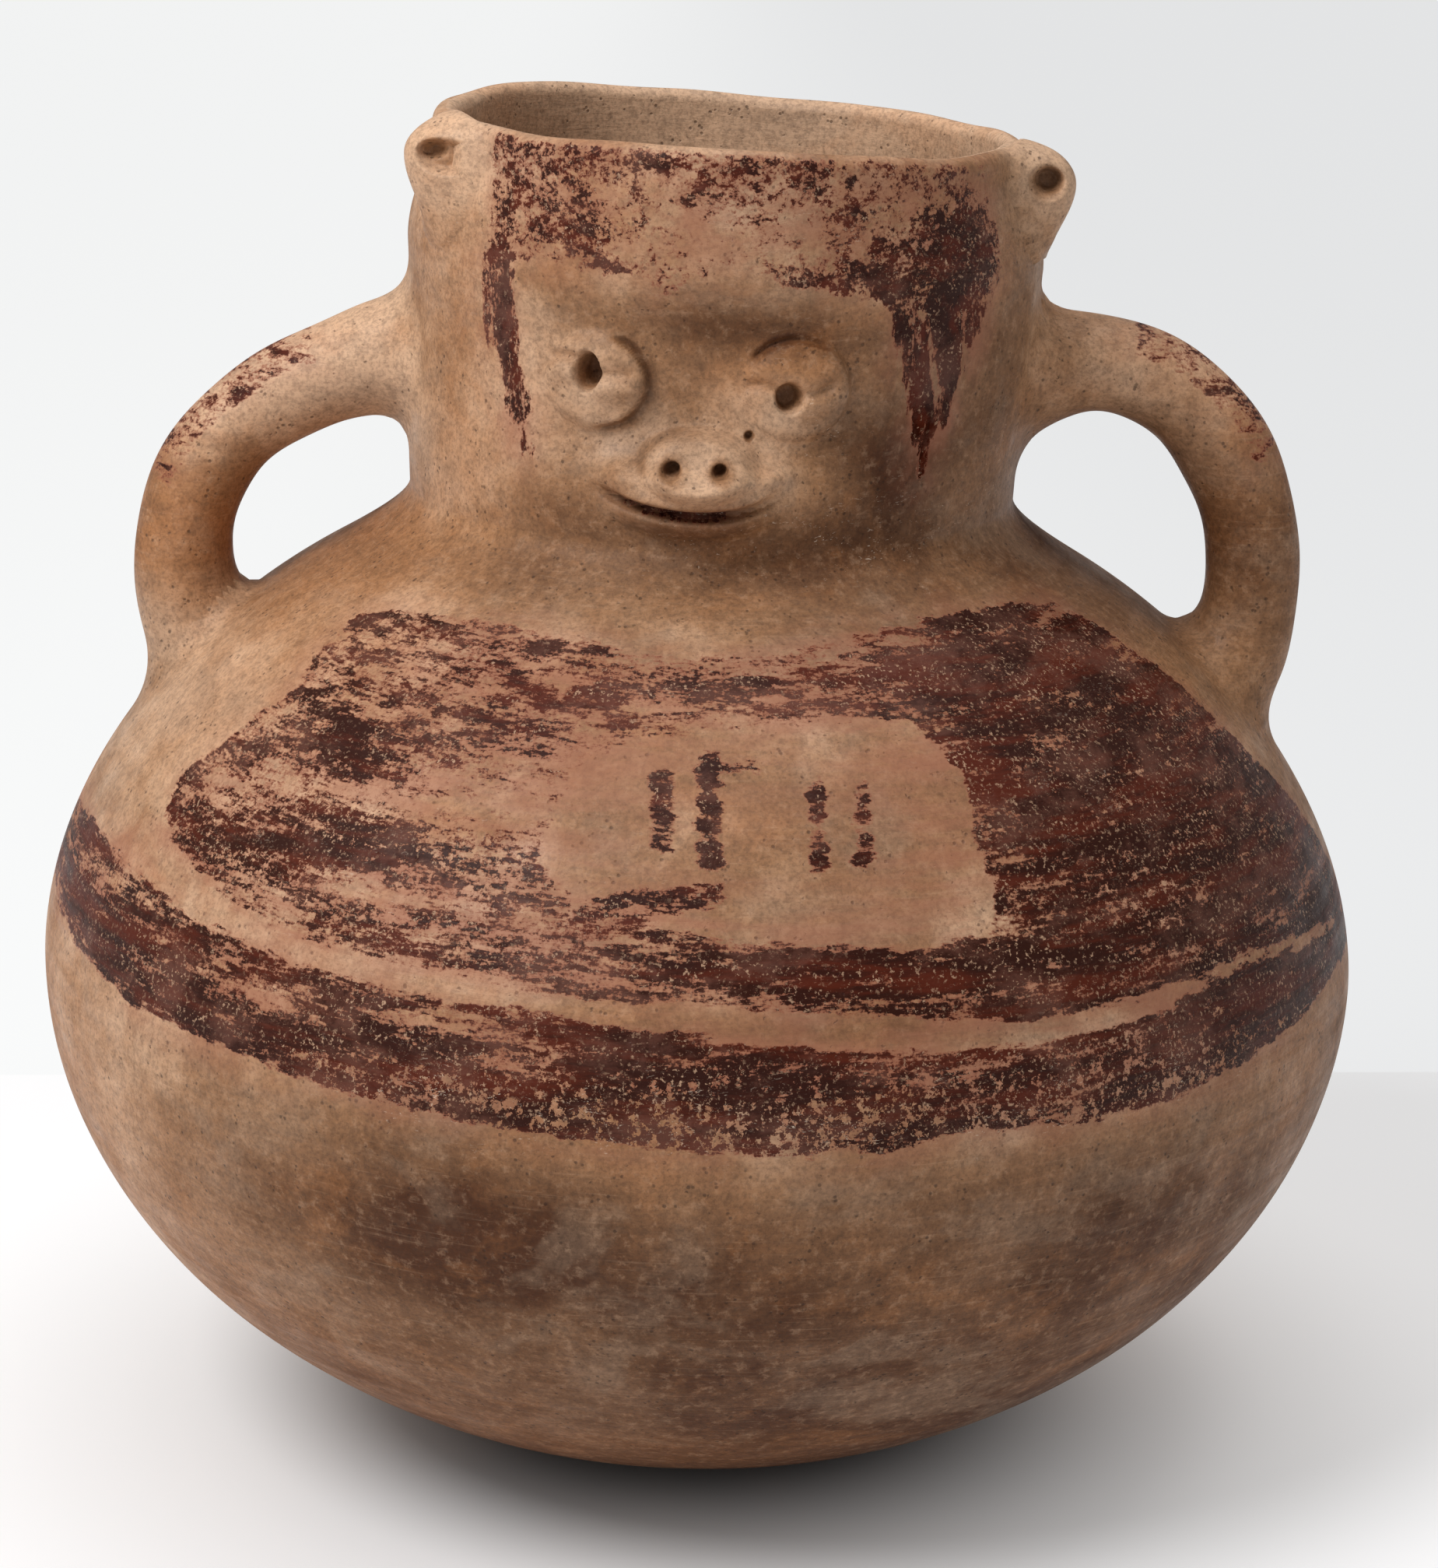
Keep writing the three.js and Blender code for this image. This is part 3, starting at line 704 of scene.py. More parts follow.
def shift_outwards(azimuth, radius, z, outside):
    """Millimetres that a point of a wall moves straight out from the axis."""
    low = np.minimum(z, CROWN)
    shift = (wall_radius(azimuth, low) - outer_radius(low)) * outside
    inner = 0.6 * (unevenness(azimuth + 40, z) + 0.5) + neck_drift(azimuth, z)
    shift += inner * (1 - outside) * (radius > 5)
    face = on_face(azimuth, z) & (outside > 0.5)
    if face.any():
        a, h = azimuth[face], z[face]
        deep = np.max(list(feature_edges(a, h).values()), axis=0)
        relief = face_relief(a, h) - 0.02 * np.clip(deep, 0, None)
        shift[face] += mix(relief, -UNDER_FACE, rise(deep, 0.8, 4.0))
    return shift


def ways_out(unit, z, outside):
    """The wall's own normal at each point. On the lip it turns over with the bead."""
    way = np.column_stack([unit, -slope(np.minimum(z, CROWN))])
    arc = np.clip(z - CROWN, 0, None) / (RIM_WALL / 2)
    lean = np.where(outside >= 0.5, 1, -1) * np.sqrt(np.clip(1 - arc**2, 0, 1))
    over_lip = np.column_stack([unit * lean[:, None], arc])
    return unit_rows(np.where((z > CROWN)[:, None], over_lip, way))


def settle_wall(points, outside):
    azimuth, radius, z = cylindrical(points)
    unit = points[:, :2] / np.maximum(radius, 1e-6)[:, None]
    places = points.copy()
    places[:, :2] += unit * shift_outwards(azimuth, radius, z, outside)[:, None]
    way = ways_out(unit, z, outside)
    handles, ears = added_distances(places)
    near_ear = ears < NEAR_EAR
    moved = (outside > 0.02) & ((handles < NEAR_HANDLE) | near_ear) & (z > ROOTS_FROM)
    if moved.any():
        reach = np.where(near_ear[moved], EAR_ROOT, HANDLE_ROOT)
        settled = settle(places[moved], way[moved], reach)
        wall, (h, e) = wall_distance(settled), added_distances(settled)
        dip = np.clip(0.03 * (wall - np.minimum(h, e)), 0, 0.6) + 3.0 * rise(-e, 2.6, 5.5)
        places[moved] = settled - way[moved] * dip[:, None]
    places[:, 2] += lip_change(azimuth, z)
    return places


# %% Turn the courses of wall
BASE_SEAM, NECK_SEAM, RIM_SEAM = 46.0, NECK_LEVEL + 10, RIM_LEVEL - 11
LIP_STEPS = 14


def closed_profile(outer, inner, between=()):
    """Up the outside, over what lies between, and down the inside."""
    return [(r, z, 1.0) for r, z in outer] + list(between) + [(r, z, 0.0) for r, z in reversed(inner)]


def course(low, high, spacing, inner_spacing):
    outer = profile_line(low - SCARF / 2, high - SCARF / 2, spacing)
    inner = profile_line(low + SCARF / 2, high + SCARF / 2, inner_spacing, inside=True)
    return closed_profile(outer, inner)


def base_course():
    pole = BELLY_HEIGHT - BASE_DROP + 1e-3
    outer = profile_line(pole, BASE_SEAM - SCARF / 2, 2.4)
    inner = profile_line(pole, BASE_SEAM + SCARF / 2, 6.0, inside=True)
    outer[0] = (0.0, outer[0][1])
    inner[0] = (0.0, inner[0][1])
    return closed_profile(outer, inner)


def lip_course():
    bead = RIM_WALL / 2
    outer = profile_line(RIM_SEAM - SCARF / 2, CROWN, 0.9)
    inner = profile_line(RIM_SEAM + SCARF / 2, CROWN, 1.2, inside=True)
    middle = (outer[-1][0] + inner[-1][0]) / 2
    bow = []
    for step in range(1, LIP_STEPS):
        share = step / LIP_STEPS
        angle = share * math.pi
        bow.append((middle + bead * math.cos(angle), CROWN + bead * math.sin(angle), 1 - share))
    return closed_profile(outer, inner, bow)


wall_piece("base_bowl", base_course(), 240, "bare_clay", closed=False)
wall_piece("belly_wall", course(BASE_SEAM, BELLY_HEIGHT, 2.2, 5.0), 360, "bare_clay")
wall_piece("shoulder_wall", course(BELLY_HEIGHT, NECK_SEAM, 1.5, 4.0), 480, "slipped_clay")
wall_piece("neck_wall", course(NECK_SEAM, RIM_SEAM, 1.0, 3.0), 480, "neck_clay")
wall_piece("rim_coil", lip_course(), 480, "neck_clay")

# %% [markdown]
# ## The pieces of the face
#
# An eye or a lip starts as a fine flat grid. Extruding the grid gives it a back. The front is then wrapped
# round the neck and settled on the relief, and the back goes into the wall, some millimetres deep.

# %% Lay on eyes and lips
PATCHES = {
    "eye_left": ((-34.5, -9.5), (253.0, 281.0)),
    "eye_right": ((1.8, 25.4), (252.0, 281.5)),
    "muzzle": ((-29.0, 24.0), (234.5, 263.0)),
    "lower_lip": ((-24.5, 18.5), (229.5, 250.0)),
}
PATCH_SPACING, PATCH_DEPTH = 0.42, 5.5


def face_piece(name, span, levels):
    columns = round(across(span[1], span[0]) / PATCH_SPACING)
    rows = round((levels[1] - levels[0]) / PATCH_SPACING)
    bm = bmesh.new()
    bmesh.ops.create_grid(bm, x_segments=columns, y_segments=rows, size=1)
    front = bmesh.ops.extrude_face_region(bm, geom=bm.faces[:], use_keep_orig=True)["geom"]
    bmesh.ops.translate(bm, vec=(0, 0, 1), verts=only(front, bmesh.types.BMVert))
    flat = read_points(bm)
    azimuth = mix(span[0], span[1], (flat[:, 0] + 1) / 2)
    z = mix(levels[0], levels[1], (flat[:, 1] + 1) / 2)
    edge = feature_edges(azimuth, z)[name]
    dip = 0.02 * np.clip(-edge, 0, 1) + 0.12 * np.clip(-edge - 1, 0, 12)
    radius = wall_radius(azimuth, z) + np.where(flat[:, 2] > 0.5, face_relief(azimuth, z) - dip, -PATCH_DEPTH)
    a = np.radians(azimuth)
    places = np.stack([radius * np.sin(a), -radius * np.cos(a), z], axis=1)
    for line in bm.edges:
        on_front = all(v.co.z > 0.5 for v in line.verts)
        if on_front and any(abs(f.normal.z) < 0.5 for f in line.link_faces):
            line.smooth = False
    finished_piece(name, bm, places, slot="neck_clay")


for name, (span, levels) in PATCHES.items():
    face_piece(name, span, levels)

# %% [markdown]
# ## Handles
#
# A ring is extruded step by step along the handle's middle line, as the rod was bent on the jar. Then each
# point moves out from the middle until it meets the skin, which gives the roots their fillets. The last rings
# are inside the wall.

# %% Bend the handles
HANDLE_SIDES, HANDLE_STEPS = 60, 120
CORE_RADIUS, ROOT_DEPTH, FILLET_REACH = 4.0, 4.0, 6.5


def ring_matrix(line, share, size):
    i = share * CURVE_STEPS
    low = min(int(i), CURVE_STEPS - 1)
    point = mix(line["points"][low], line["points"][low + 1], i - low)
    near = min(round(i), CURVE_STEPS)
    along, outward = line["along"][near], line["outward"][near]
    side = np.cross(along, outward)
    turn = Matrix([list(row) + [0] for row in np.stack([outward, side, along], axis=1)] + [[0, 0, 0, 1]])
    return Matrix.Translation(Vector(point)) @ turn @ Matrix.Scale(size, 4)


def bend_handle(name, line):
    bm = bmesh.new()
    start = bmesh.ops.create_circle(bm, segments=HANDLE_SIDES, radius=1)["verts"]
    last = ring_matrix(line, 0, CORE_RADIUS)
    bmesh.ops.transform(bm, matrix=last, verts=start)
    edges = bm.edges[:]
    bmesh.ops.edgeloop_fill(bm, edges=edges)
    for step in range(1, HANDLE_STEPS + 1):
        geom = bmesh.ops.extrude_edge_only(bm, edges=edges)["geom"]
        edges = only(geom, bmesh.types.BMEdge)
        here = ring_matrix(line, step / HANDLE_STEPS, CORE_RADIUS)
        bmesh.ops.transform(bm, matrix=here @ last.inverted(), verts=only(geom, bmesh.types.BMVert))
        last = here
    bmesh.ops.edgeloop_fill(bm, edges=edges)
    points = read_points(bm)
    near = nearest_on(line, points)
    middle = line["points"][near]
    way = points - middle
    way = unit_rows(way - (way * line["along"][near]).sum(axis=1)[:, None] * line["along"][near])
    swell = handle_swell(line, line["run"][near])
    reach = HANDLE_WIDTH / 2 * swell + FILLET_REACH - CORE_RADIUS
    places = settle(middle + way * CORE_RADIUS, way, reach)
    wall, (h, _) = wall_distance(places), added_distances(places)
    dip = np.clip(0.03 * (h - wall), 0, 0.6)
    places -= way * dip[:, None]
    places = keep_in_wall(places, ROOT_DEPTH)
    finished_piece(name, bm, places, slot="bare_clay")


def keep_in_wall(places, depth):
    """Points deeper than this in the wall come back up, so that no root shows inside the jar."""
    _, radius, z = cylindrical(places)
    wall = wall_distance(places)
    tilt = slope(np.minimum(z, CROWN))
    normal = unit_rows(np.column_stack([places[:, :2] / radius[:, None], -tilt]))
    return places + normal * np.clip(-depth - wall, 0, None)[:, None]


for name, line in LINES.items():
    bend_handle(name, line)

# %% [markdown]
# ## Ears
#
# A sphere is a good start for a lug, with its pole turned to the front, because the rings round the pole
# then run round the pit's edge. Every point moves out from the lug's middle until it meets the skin.

# %% Press the ears
EAR_SEGMENTS, EAR_RINGS = 128, 88
EAR_CORE, EAR_FILLET_REACH, EAR_ROOT_DEPTH = 1.5, 3.2, 4.2


def press_ear(name, ear):
    bm = bmesh.new()
    bmesh.ops.create_uvsphere(bm, u_segments=EAR_SEGMENTS, v_segments=EAR_RINGS, radius=1)
    bmesh.ops.rotate(bm, matrix=Matrix.Rotation(math.pi / 2, 3, "X"), verts=bm.verts)
    way = unit_rows(read_points(bm))
    middle = ear_middle(ear)
    breadth, up, down = ear["size"]
    tall = way[:, 2] / np.where(way[:, 2] > 0, up, down)
    lug = 1 / np.sqrt(tall**2 + (way[:, 0] ** 2 + way[:, 1] ** 2) / breadth**2)
    places = settle(middle + way * EAR_CORE, way, lug + EAR_FILLET_REACH)
    wall, (_, e) = wall_distance(places), added_distances(places)
    dip = np.clip(0.05 * (e - wall), 0, 0.6) + 1.6 * rise(depth_in_wall(places), 2.0, 5.0)
    places -= way * dip[:, None]
    unit = places[:, :2] / np.hypot(places[:, 0], places[:, 1])[:, None]
    places[:, :2] += unit * np.clip(depth_in_wall(places) - EAR_ROOT_DEPTH, 0, None)[:, None]
    places[:, 1] += ear_holes(ear, places)
    azimuth, _, z = cylindrical(places)
    places[:, 2] += lip_change(azimuth, z)
    finished_piece(name, bm, places, slot="bare_clay")


for name, ear in EARS.items():
    press_ear(name, ear)

# %% [markdown]
# ## Where the slip was brushed
#
# The potter painted a tunic over the shoulder, a belt below it and hair round the face. Each painted place is
# an outline in degrees round the jar and millimetres of height. For every point of a mesh, the script works
# out how far inside an outline it lies. That distance is smooth, so the mesh needs no edge along the paint,
# and the material breaks the border up into brush marks.

# %% Outlines of the slip
TUNIC = (
    (-54.2, 210.3), (-49, 212.5), (-35.6, 214.4), (-22.9, 213.7), (-12, 212.5), (-3.4, 212.2), (9.2, 213),
    (20.7, 215.4), (34.3, 216.9), (51.1, 216.8), (62, 214.6), (65.4, 206.7), (68, 198.8), (70, 188.6),
    (73, 176.4), (78, 161), (82, 147), (84, 138), (66, 144), (51.8, 148), (38.9, 145.4), (28.5, 144.8),
    (18.4, 147.3), (5.9, 150.4), (-4.4, 150.9), (-12.4, 150.7), (-18.9, 152.5), (-29.4, 153),
    (-39.3, 155), (-50.7, 161), (-54.7, 162.8), (-58.3, 167.1), (-59.7, 175.7), (-56.5, 183.2),
    (-55.1, 189.5), (-52, 197.1), (-54.2, 202.5),
)
BELT = (
    (-100, 154.5), (-83, 154.5), (-72, 157), (-62.9, 156.7), (-49.3, 152.2), (-38.8, 150.2),
    (-25.4, 148.8), (-12.3, 147.6), (-4.3, 146.1), (5.9, 143.8), (18.2, 140.9), (28.3, 139.6),
    (38.6, 141.8), (51.2, 144.6), (66, 141), (84, 137), (100, 140), (125, 148), (150, 153), (180, 155),
    (210, 156), (235, 155.5), (260, 154.5), (260, 138), (235, 136), (210, 134), (180, 132), (150, 128),
    (125, 125), (100, 124), (80, 130), (68.2, 131.7), (60.7, 128.2), (49.4, 124.3), (41.3, 122.4),
    (31.5, 122.5), (21.1, 124), (13.7, 121.4), (5, 121), (-8.6, 123.2), (-17.7, 124.6), (-27.5, 126),
    (-39.1, 128.3), (-53.5, 129.2), (-61.8, 132), (-76.2, 136.4), (-100, 138),
)
WINDOW = (
    (-13.5, 191), (-9.5, 196), (4.1, 201), (22.8, 201), (26.8, 190.5), (25.2, 181.1), (26, 171.1),
    (24.6, 162.7), (18.1, 160.8), (6, 162.8), (-2.9, 165.2), (-10, 168), (-15, 176),
)
HAIR = (
    (-45.5, 322), (-45.6, 301.7), (-44.5, 291), (-38.2, 291), (-30, 292), (-24.3, 290.5), (-14, 291),
    (-10.7, 286), (-8, 287), (-4, 292), (5, 293), (10, 289.5), (17.3, 289.4), (24, 286.5), (29.5, 287.1),
    (34, 284), (52, 281), (55.6, 287), (56.5, 300), (53, 313), (52, 322),
)
BACK_HAIR = (
    (112, 322), (108, 305), (112, 285), (118, 262), (124, 251), (138, 247), (152, 252), (168, 246),
    (185, 249), (200, 245), (215, 250), (228, 247), (238, 256), (246, 275), (252, 300), (250, 322),
)
# Single brush strokes: start and end as degrees and height, half width in millimetres, and how much is left.
STROKES = (
    (-42.2, 290, -40.6, 272, 3.6, 0.86), (-40.6, 272, -37.6, 259, 3.2, 0.88),
    (-37.6, 259, -35.4, 250, 1.4, 0.8), (-45.8, 290, -44.6, 272, 1.2, 0.6),
    (30.2, 288, 34, 279, 2.4, 0.8), (34, 279, 36.6, 270, 3.8, 0.92), (36.6, 270, 38.8, 257, 3.4, 0.96),
    (38.8, 257, 39.3, 247, 1.3, 0.92), (41.5, 286, 43.6, 270, 4, 0.86), (44.9, 272, 43.4, 258, 1.6, 0.7),
    (49, 288, 48.2, 277, 2.4, 0.8), (39.4, 283, 41.5, 276, 2.8, 0.8), (-4.6, 192, -4, 180.6, 2.3, 0.76),
    (0, 195.5, 0.4, 177.4, 2.1, 0.84), (1, 193.8, 4.4, 193.9, 1, 0.7),
    (10.8, 190.4, 9.9, 176.1, 1.5, 0.74), (15.4, 189.7, 14.2, 177.6, 1.6, 0.74),
    (-7, 168.9, 0.2, 172, 2.6, 0.74), (-9.5, 167.4, -4, 169.2, 2.2, 0.7),
    (-15.5, 204.5, 18.5, 208, 1.3, 0.66), (-10.5, 200, 9, 202.4, 1.5, 0.6),
    (-22, 188, -19.5, 176, 3, 0.36),
)
MOUTH_PAINT = (
    (-15.5, 241.4, -11.5, 240.1, 0.4), (-11.5, 240, -6.5, 239.1, 0.8), (-6.5, 239, -1.5, 238.8, 1.05),
    (-1.5, 238.8, 1.8, 239.3, 0.8), (1.8, 239.4, 3.6, 240.2, 0.3),
)


def map_scale(z):
    """Millimetres on the skin for one degree and for one millimetre of height."""
    flat = np.minimum(z, CROWN)
    return outer_radius(flat) * math.pi / 180, np.sqrt(1 + slope(flat) ** 2)


def segment_distance(azimuth, z, a0, z0, a1, z1):
    wide, tall = map_scale(z)
    ax, ay = (a0 - azimuth) * wide, (z0 - z) * tall
    bx, by = (a1 - a0) * wide, (z1 - z0) * tall
    t = np.clip(-(ax * bx + ay * by) / np.maximum(bx**2 + by**2, 1e-9), 0, 1)
    return np.hypot(ax + t * bx, ay + t * by)


def inside_outline(azimuth, z, outline):
    """Millimetres inside the outline, negative outside it."""
    far = np.full(len(z), 1e9)
    odd = np.zeros(len(z), bool)
    for (a0, z0), (a1, z1) in zip(outline, outline[1:] + outline[:1]):
        far = np.minimum(far, segment_distance(azimuth, z, a0, z0, a1, z1))
        straddles = (z0 > z) != (z1 > z)
        meets = a0 + (z - z0) * (a1 - a0) / (z1 - z0 if z1 != z0 else 1e-9)
        odd ^= straddles & (azimuth < meets)
    return np.where(odd, far, -far)


def inside_strokes(azimuth, z, strokes):
    best = np.full(len(z), -1e9)
    left = np.zeros(len(z))
    for *ends, half, kept in strokes:
        inside = 0.9 * (half - segment_distance(azimuth, z, *ends)) + 0.3
        left = np.where(inside > np.maximum(best, -1.5), kept, left)
        best = np.maximum(best, inside)
    return best, left


corners = sum(len(outline) for outline in (TUNIC, BELT, WINDOW, HAIR, BACK_HAIR))
print(corners, "corners of outlines,", len(STROKES), "strokes")

# %% [markdown]
# ## How much of the slip is left
#
# The slip has worn unevenly. On the right of the tunic it is almost whole, in the middle only stains are
# left. Soft round spots, each with a place, a size and a strength, add up to a map of how much is left, and
# others to a map of the firing's smoke stains mixed with painted shade, and to a map of the paler, warmer
# clay.

# %% Maps of wear, smoke with painted shade, and warmth
# Each spot: degrees, height, half width in degrees, half height in millimetres, strength.
SLIP_LEFT = (
    (50, 190, 22, 28, 0.7), (64, 158, 16, 18, 0.34), (33, 208, 16, 9, 0.22), (30, 175, 7, 22, 0.18),
    (-53, 166.5, 6, 4.5, 0.26), (-44, 168, 6, 4.5, 0.34), (-34, 172, 6, 4.5, 0.38), (-28, 174, 5, 4, 0.3),
    (-45, 211, 9, 4, 0.2), (-40, 202, 7, 3, 0.26), (-38, 190, 9, 5, 0.22), (-49, 196, 5, 3, 0.22),
    (-21, 197, 6, 5, 0.26), (-47, 178, 7, 4, -0.2), (-16, 158, 16, 4.5, 0.2), (12, 157, 24, 4.5, 0.34),
    (34, 154, 20, 6, 0.26), (-14, 205, 15, 9, -0.16), (2, 208, 14, 6, -0.08), (-24, 183, 12, 7, -0.1),
    (-30, 160, 16, 5, -0.04), (-34, 186, 12, 16, 0.04), (-22, 171, 12, 8, 0.12), (8, 196, 16, 6, -0.2),
    (-12, 190, 10, 12, -0.14), (-72, 146, 14, 9, 0.1), (-50, 138, 12, 7, 0.08), (-22, 130, 20, 6, 0.18),
    (10, 129, 20, 7, 0.16), (40, 130, 24, 8, 0.18), (-38, 146, 14, 4, -0.22), (5, 140, 22, 4, -0.1),
    (62, 136, 14, 8, 0.16), (-28, 141, 12, 4, -0.1), (-42, 313, 10, 6, 0.1), (-32, 303, 9, 5, 0.22),
    (-26, 299, 5, 5, 0.22), (-14, 316, 24, 3, 0.14), (-10, 302, 9, 7, -0.26), (34, 310, 7, 5, -0.22),
    (46, 300, 6, 7, 0.25), (29, 292, 7, 2.4, 0.2), (8, 304, 14, 6, -0.16), (-40, 294, 5, 6, -0.1),
    (-28, 290, 8, 4, -0.2), (38, 298, 12, 8, 0.34), (47, 294, 7, 10, 0.4), (20, 313, 16, 5, 0.16),
    (16, 291, 6, 3, 0.3), (-20, 292, 4, 3, 0.2), (30, 289, 8, 4, 0.4), (-5, 296, 12, 4, -0.25),
    (0, 290, 6, 3, 0.1), (45, 310, 8, 6, 0.06),
)
# Smoke and painted shade: most spots are smoke clouds of the firing. Those low on the belly make it darker
# towards the bottom. Those round the foot of the neck, under the brow and on the right side of the neck are
# painted shade mixed with smoke. Spots with a minus strength make the clay paler.
SMOKE_AND_SHADE = (
    (-20, 98, 15, 26, 0.72), (-14, 96, 20, 16, 0.4), (2, 82, 12, 22, 0.4), (8, 62, 46, 26, 0.6),
    (36, 92, 20, 20, 0.66), (4, 20, 70, 30, 0.95), (0, 10, 100, 20, 0.5), (22, 108, 16, 10, 0.25),
    (-42, 92, 7, 30, 0.18), (-40, 50, 16, 16, 0.3), (33, 250, 13, 18, 0.96), (58, 262, 16, 34, 0.5),
    (20, 230, 26, 10, 0.55), (4, 279, 16, 9, 0.38), (20, 278, 14, 7, 0.34), (72, 120, 18, 40, 0.25),
    (100, 150, 30, 70, 0.45), (62, 214, 24, 14, 0.3), (90, 228, 16, 22, 0.45), (-90, 225, 16, 18, 0.25),
    (24, 216, 34, 12, 0.36), (12, 180, 22, 22, 0.22), (170, 90, 40, 40, 0.5), (215, 170, 24, 30, 0.36),
    (150, 230, 30, 30, 0.26), (60, 60, 26, 40, 0.34), (-10, 230, 30, 9, 0.55), (-5, 236, 12, 4, 0.3),
    (-38, 222, 18, 7, 0.45), (-63, 218, 12, 8, 0.55), (-90, 218, 16, 14, 0.4), (90, 242, 16, 30, 0.12),
    (-3, 262, 26, 20, 0.18), (-4, 281, 28, 6, 0.36), (-4, 267, 6, 10, 0.28), (26, 262, 7, 14, 0.1),
    (-5, 298, 30, 8, 0.15), (-22, 266, 8, 8, -0.22), (13, 264, 7, 7, -0.22), (-3, 251, 9, 6, -0.22),
    (22, 145.5, 50, 3.5, 0.3), (-16, 104, 14, 18, 0.2), (-28, 240, 12, 9, 0.34), (-48, 214, 14, 8, -0.3),
    (-90, 262, 16, 16, -0.6), (90, 260, 16, 14, -0.4), (-60, 312, 14, 12, -0.55), (75, 312, 12, 10, -0.3),
    (-40, 178, 16, 14, -0.25), (0, 302, 40, 12, -0.08),
)
WARMTH = (
    (-72, 110, 16, 40, 0.7), (-90, 220, 24, 16, 0.8), (90, 240, 20, 30, 0.25), (-44, 48, 20, 22, 0.6),
    (-58, 70, 16, 26, 0.4), (-8, 30, 30, 12, 0.5), (-62, 225, 20, 40, 0.2), (-50, 262, 14, 30, 0.5),
    (-66, 300, 14, 20, 0.3), (-60, 190, 18, 20, 0.3), (230, 100, 30, 40, 0.5), (120, 60, 26, 30, 0.4),
)
STAIN = (
    (-30, 190, 26, 24, 0.55), (0, 205, 26, 10, 0.4), (-32, 164, 26, 9, 0.9), (-10, 160, 20, 8, 0.6),
    (8, 182, 15, 16, -0.45), (-60, 150, 18, 12, 0.5), (35, 180, 30, 40, 0.8), (0, 135, 60, 14, 0.7),
    (-40, 262, 7, 30, 0.8), (42, 268, 12, 24, 0.9), (0, 306, 50, 12, 0.5), (42, 300, 14, 14, 0.4),
    (180, 290, 70, 30, 0.8), (180, 145, 110, 14, 0.8),
)
FLECKS = (
    (8, 128, 24, 8, 1), (38, 128, 16, 8, 0.9), (-16, 128, 14, 8, 0.8), (18, 262, 10, 12, 0.7),
    (10, 240, 30, 8, 0.6), (8, 231, 26, 6, 0.8), (48, 180, 22, 40, 0.36), (40, 235, 16, 10, 0.6),
    (-30, 170, 30, 24, 0.35), (-52, 300, 10, 20, 0.4), (25, 300, 30, 16, 0.4), (180, 135, 60, 14, 0.7),
    (62, 250, 8, 30, 0.5),
)


def spots(azimuth, z, places):
    total = np.zeros(len(z))
    for a0, z0, wide, tall, strength in places:
        turn = (azimuth - a0 + 180) % 360 - 180
        total += strength * np.exp(-((turn / wide) ** 2) - ((z - z0) / tall) ** 2)
    return total


def skin_run(z):
    """How far up the skin a height is, counted along the wall, so that brush marks keep their width."""
    levels = np.linspace(-6, 330, 700)
    steps = np.sqrt(1 + slope(np.minimum(levels, CROWN)) ** 2) * (levels[1] - levels[0])
    steps = steps * mix(mix(1.0, 0.45, rise(levels, 216, 232)), 1.2, rise(levels, 281, 294))
    return np.interp(z, levels, np.cumsum(np.clip(steps, 0, 6)))


# How much slip is left where no spot says otherwise, from 0 to 1.
NECK_LEFT, BELT_LEFT, TUNIC_LEFT, BACK_BODY_LEFT, BACK_HAIR_LEFT = 0.42, 0.79, 0.51, 0.62, 0.5
FAR_OUT = 40.0
OUTLINE_HEIGHTS = ((BELT, 112, 166), (TUNIC, 130, 226), (HAIR, 270, 330), (BACK_HAIR, 235, 330))
HANDLE_SLIP = {"handle_left": (22, 66), "handle_right": (27, 64)}


def painted_places(azimuth, z):
    """How far inside the slip a place is, without and with the bare window in the tunic."""
    inside, garment = np.full(len(z), -FAR_OUT), np.full(len(z), -FAR_OUT)
    for outline, low, high in OUTLINE_HEIGHTS:
        rows = (z > low) & (z < high)
        if rows.any():
            found = inside_outline(azimuth[rows], z[rows], outline)
            garment[rows] = np.maximum(garment[rows], found)
            if outline is TUNIC:
                found = np.minimum(found, -inside_outline(azimuth[rows], z[rows], WINDOW))
            inside[rows] = np.maximum(inside[rows], found)
    return inside, garment


def wall_slip(azimuth, z):
    """Where slip is on the walls and the face, and how much of it is left."""
    wrapped = np.where(azimuth < -100, azimuth + 360, azimuth)
    inside, garment = painted_places(wrapped, z)
    body_left = mix(BELT_LEFT, TUNIC_LEFT, rise(z, 146, 152))
    left = np.where(z > 230, NECK_LEFT, body_left) + spots(azimuth, z, SLIP_LEFT)
    back_left = np.where(z < 200, BACK_BODY_LEFT, BACK_HAIR_LEFT)
    left = mix(left, back_left, rise(np.abs(wrapped - 180), 100, 70))
    strokes, kept = inside_strokes(azimuth, z, STROKES)
    left = np.where(kept > 0, np.where(inside > 0, np.maximum(left, kept), kept), left)
    mouth = [half - segment_distance(azimuth, z, *ends) for *ends, half in MOUTH_PAINT]
    mouth = 1.6 * np.max(mouth, axis=0)
    return np.maximum(np.maximum(inside, strokes), mouth), garment, np.where(mouth > -1.0, 1.0, left)


def handle_slip(name, places):
    """A patch of slip on the outer side of a handle, between two runs along its middle line."""
    line, (start, end) = LINES[name], HANDLE_SLIP[name]
    near = nearest_on(line, places)
    outward = ((places - line["points"][near]) * line["outward"][near]).sum(axis=1)
    run = line["run"][near]
    return np.minimum(np.minimum(np.minimum(run - start, end - run), (outward - 4.5) * 1.2), 12)


def brush_run(name, places, azimuth, z):
    """A place for the brush marks, in metres: round the jar and up its wall, or simply in space."""
    if name.startswith(("handle", "ear")):
        return places / 1000
    around, wide = np.radians(azimuth), mix(0.12, 0.24, rise(z, 216, 232))
    return np.stack([wide * np.sin(around), -wide * np.cos(around), skin_run(z) / 1000], axis=1)


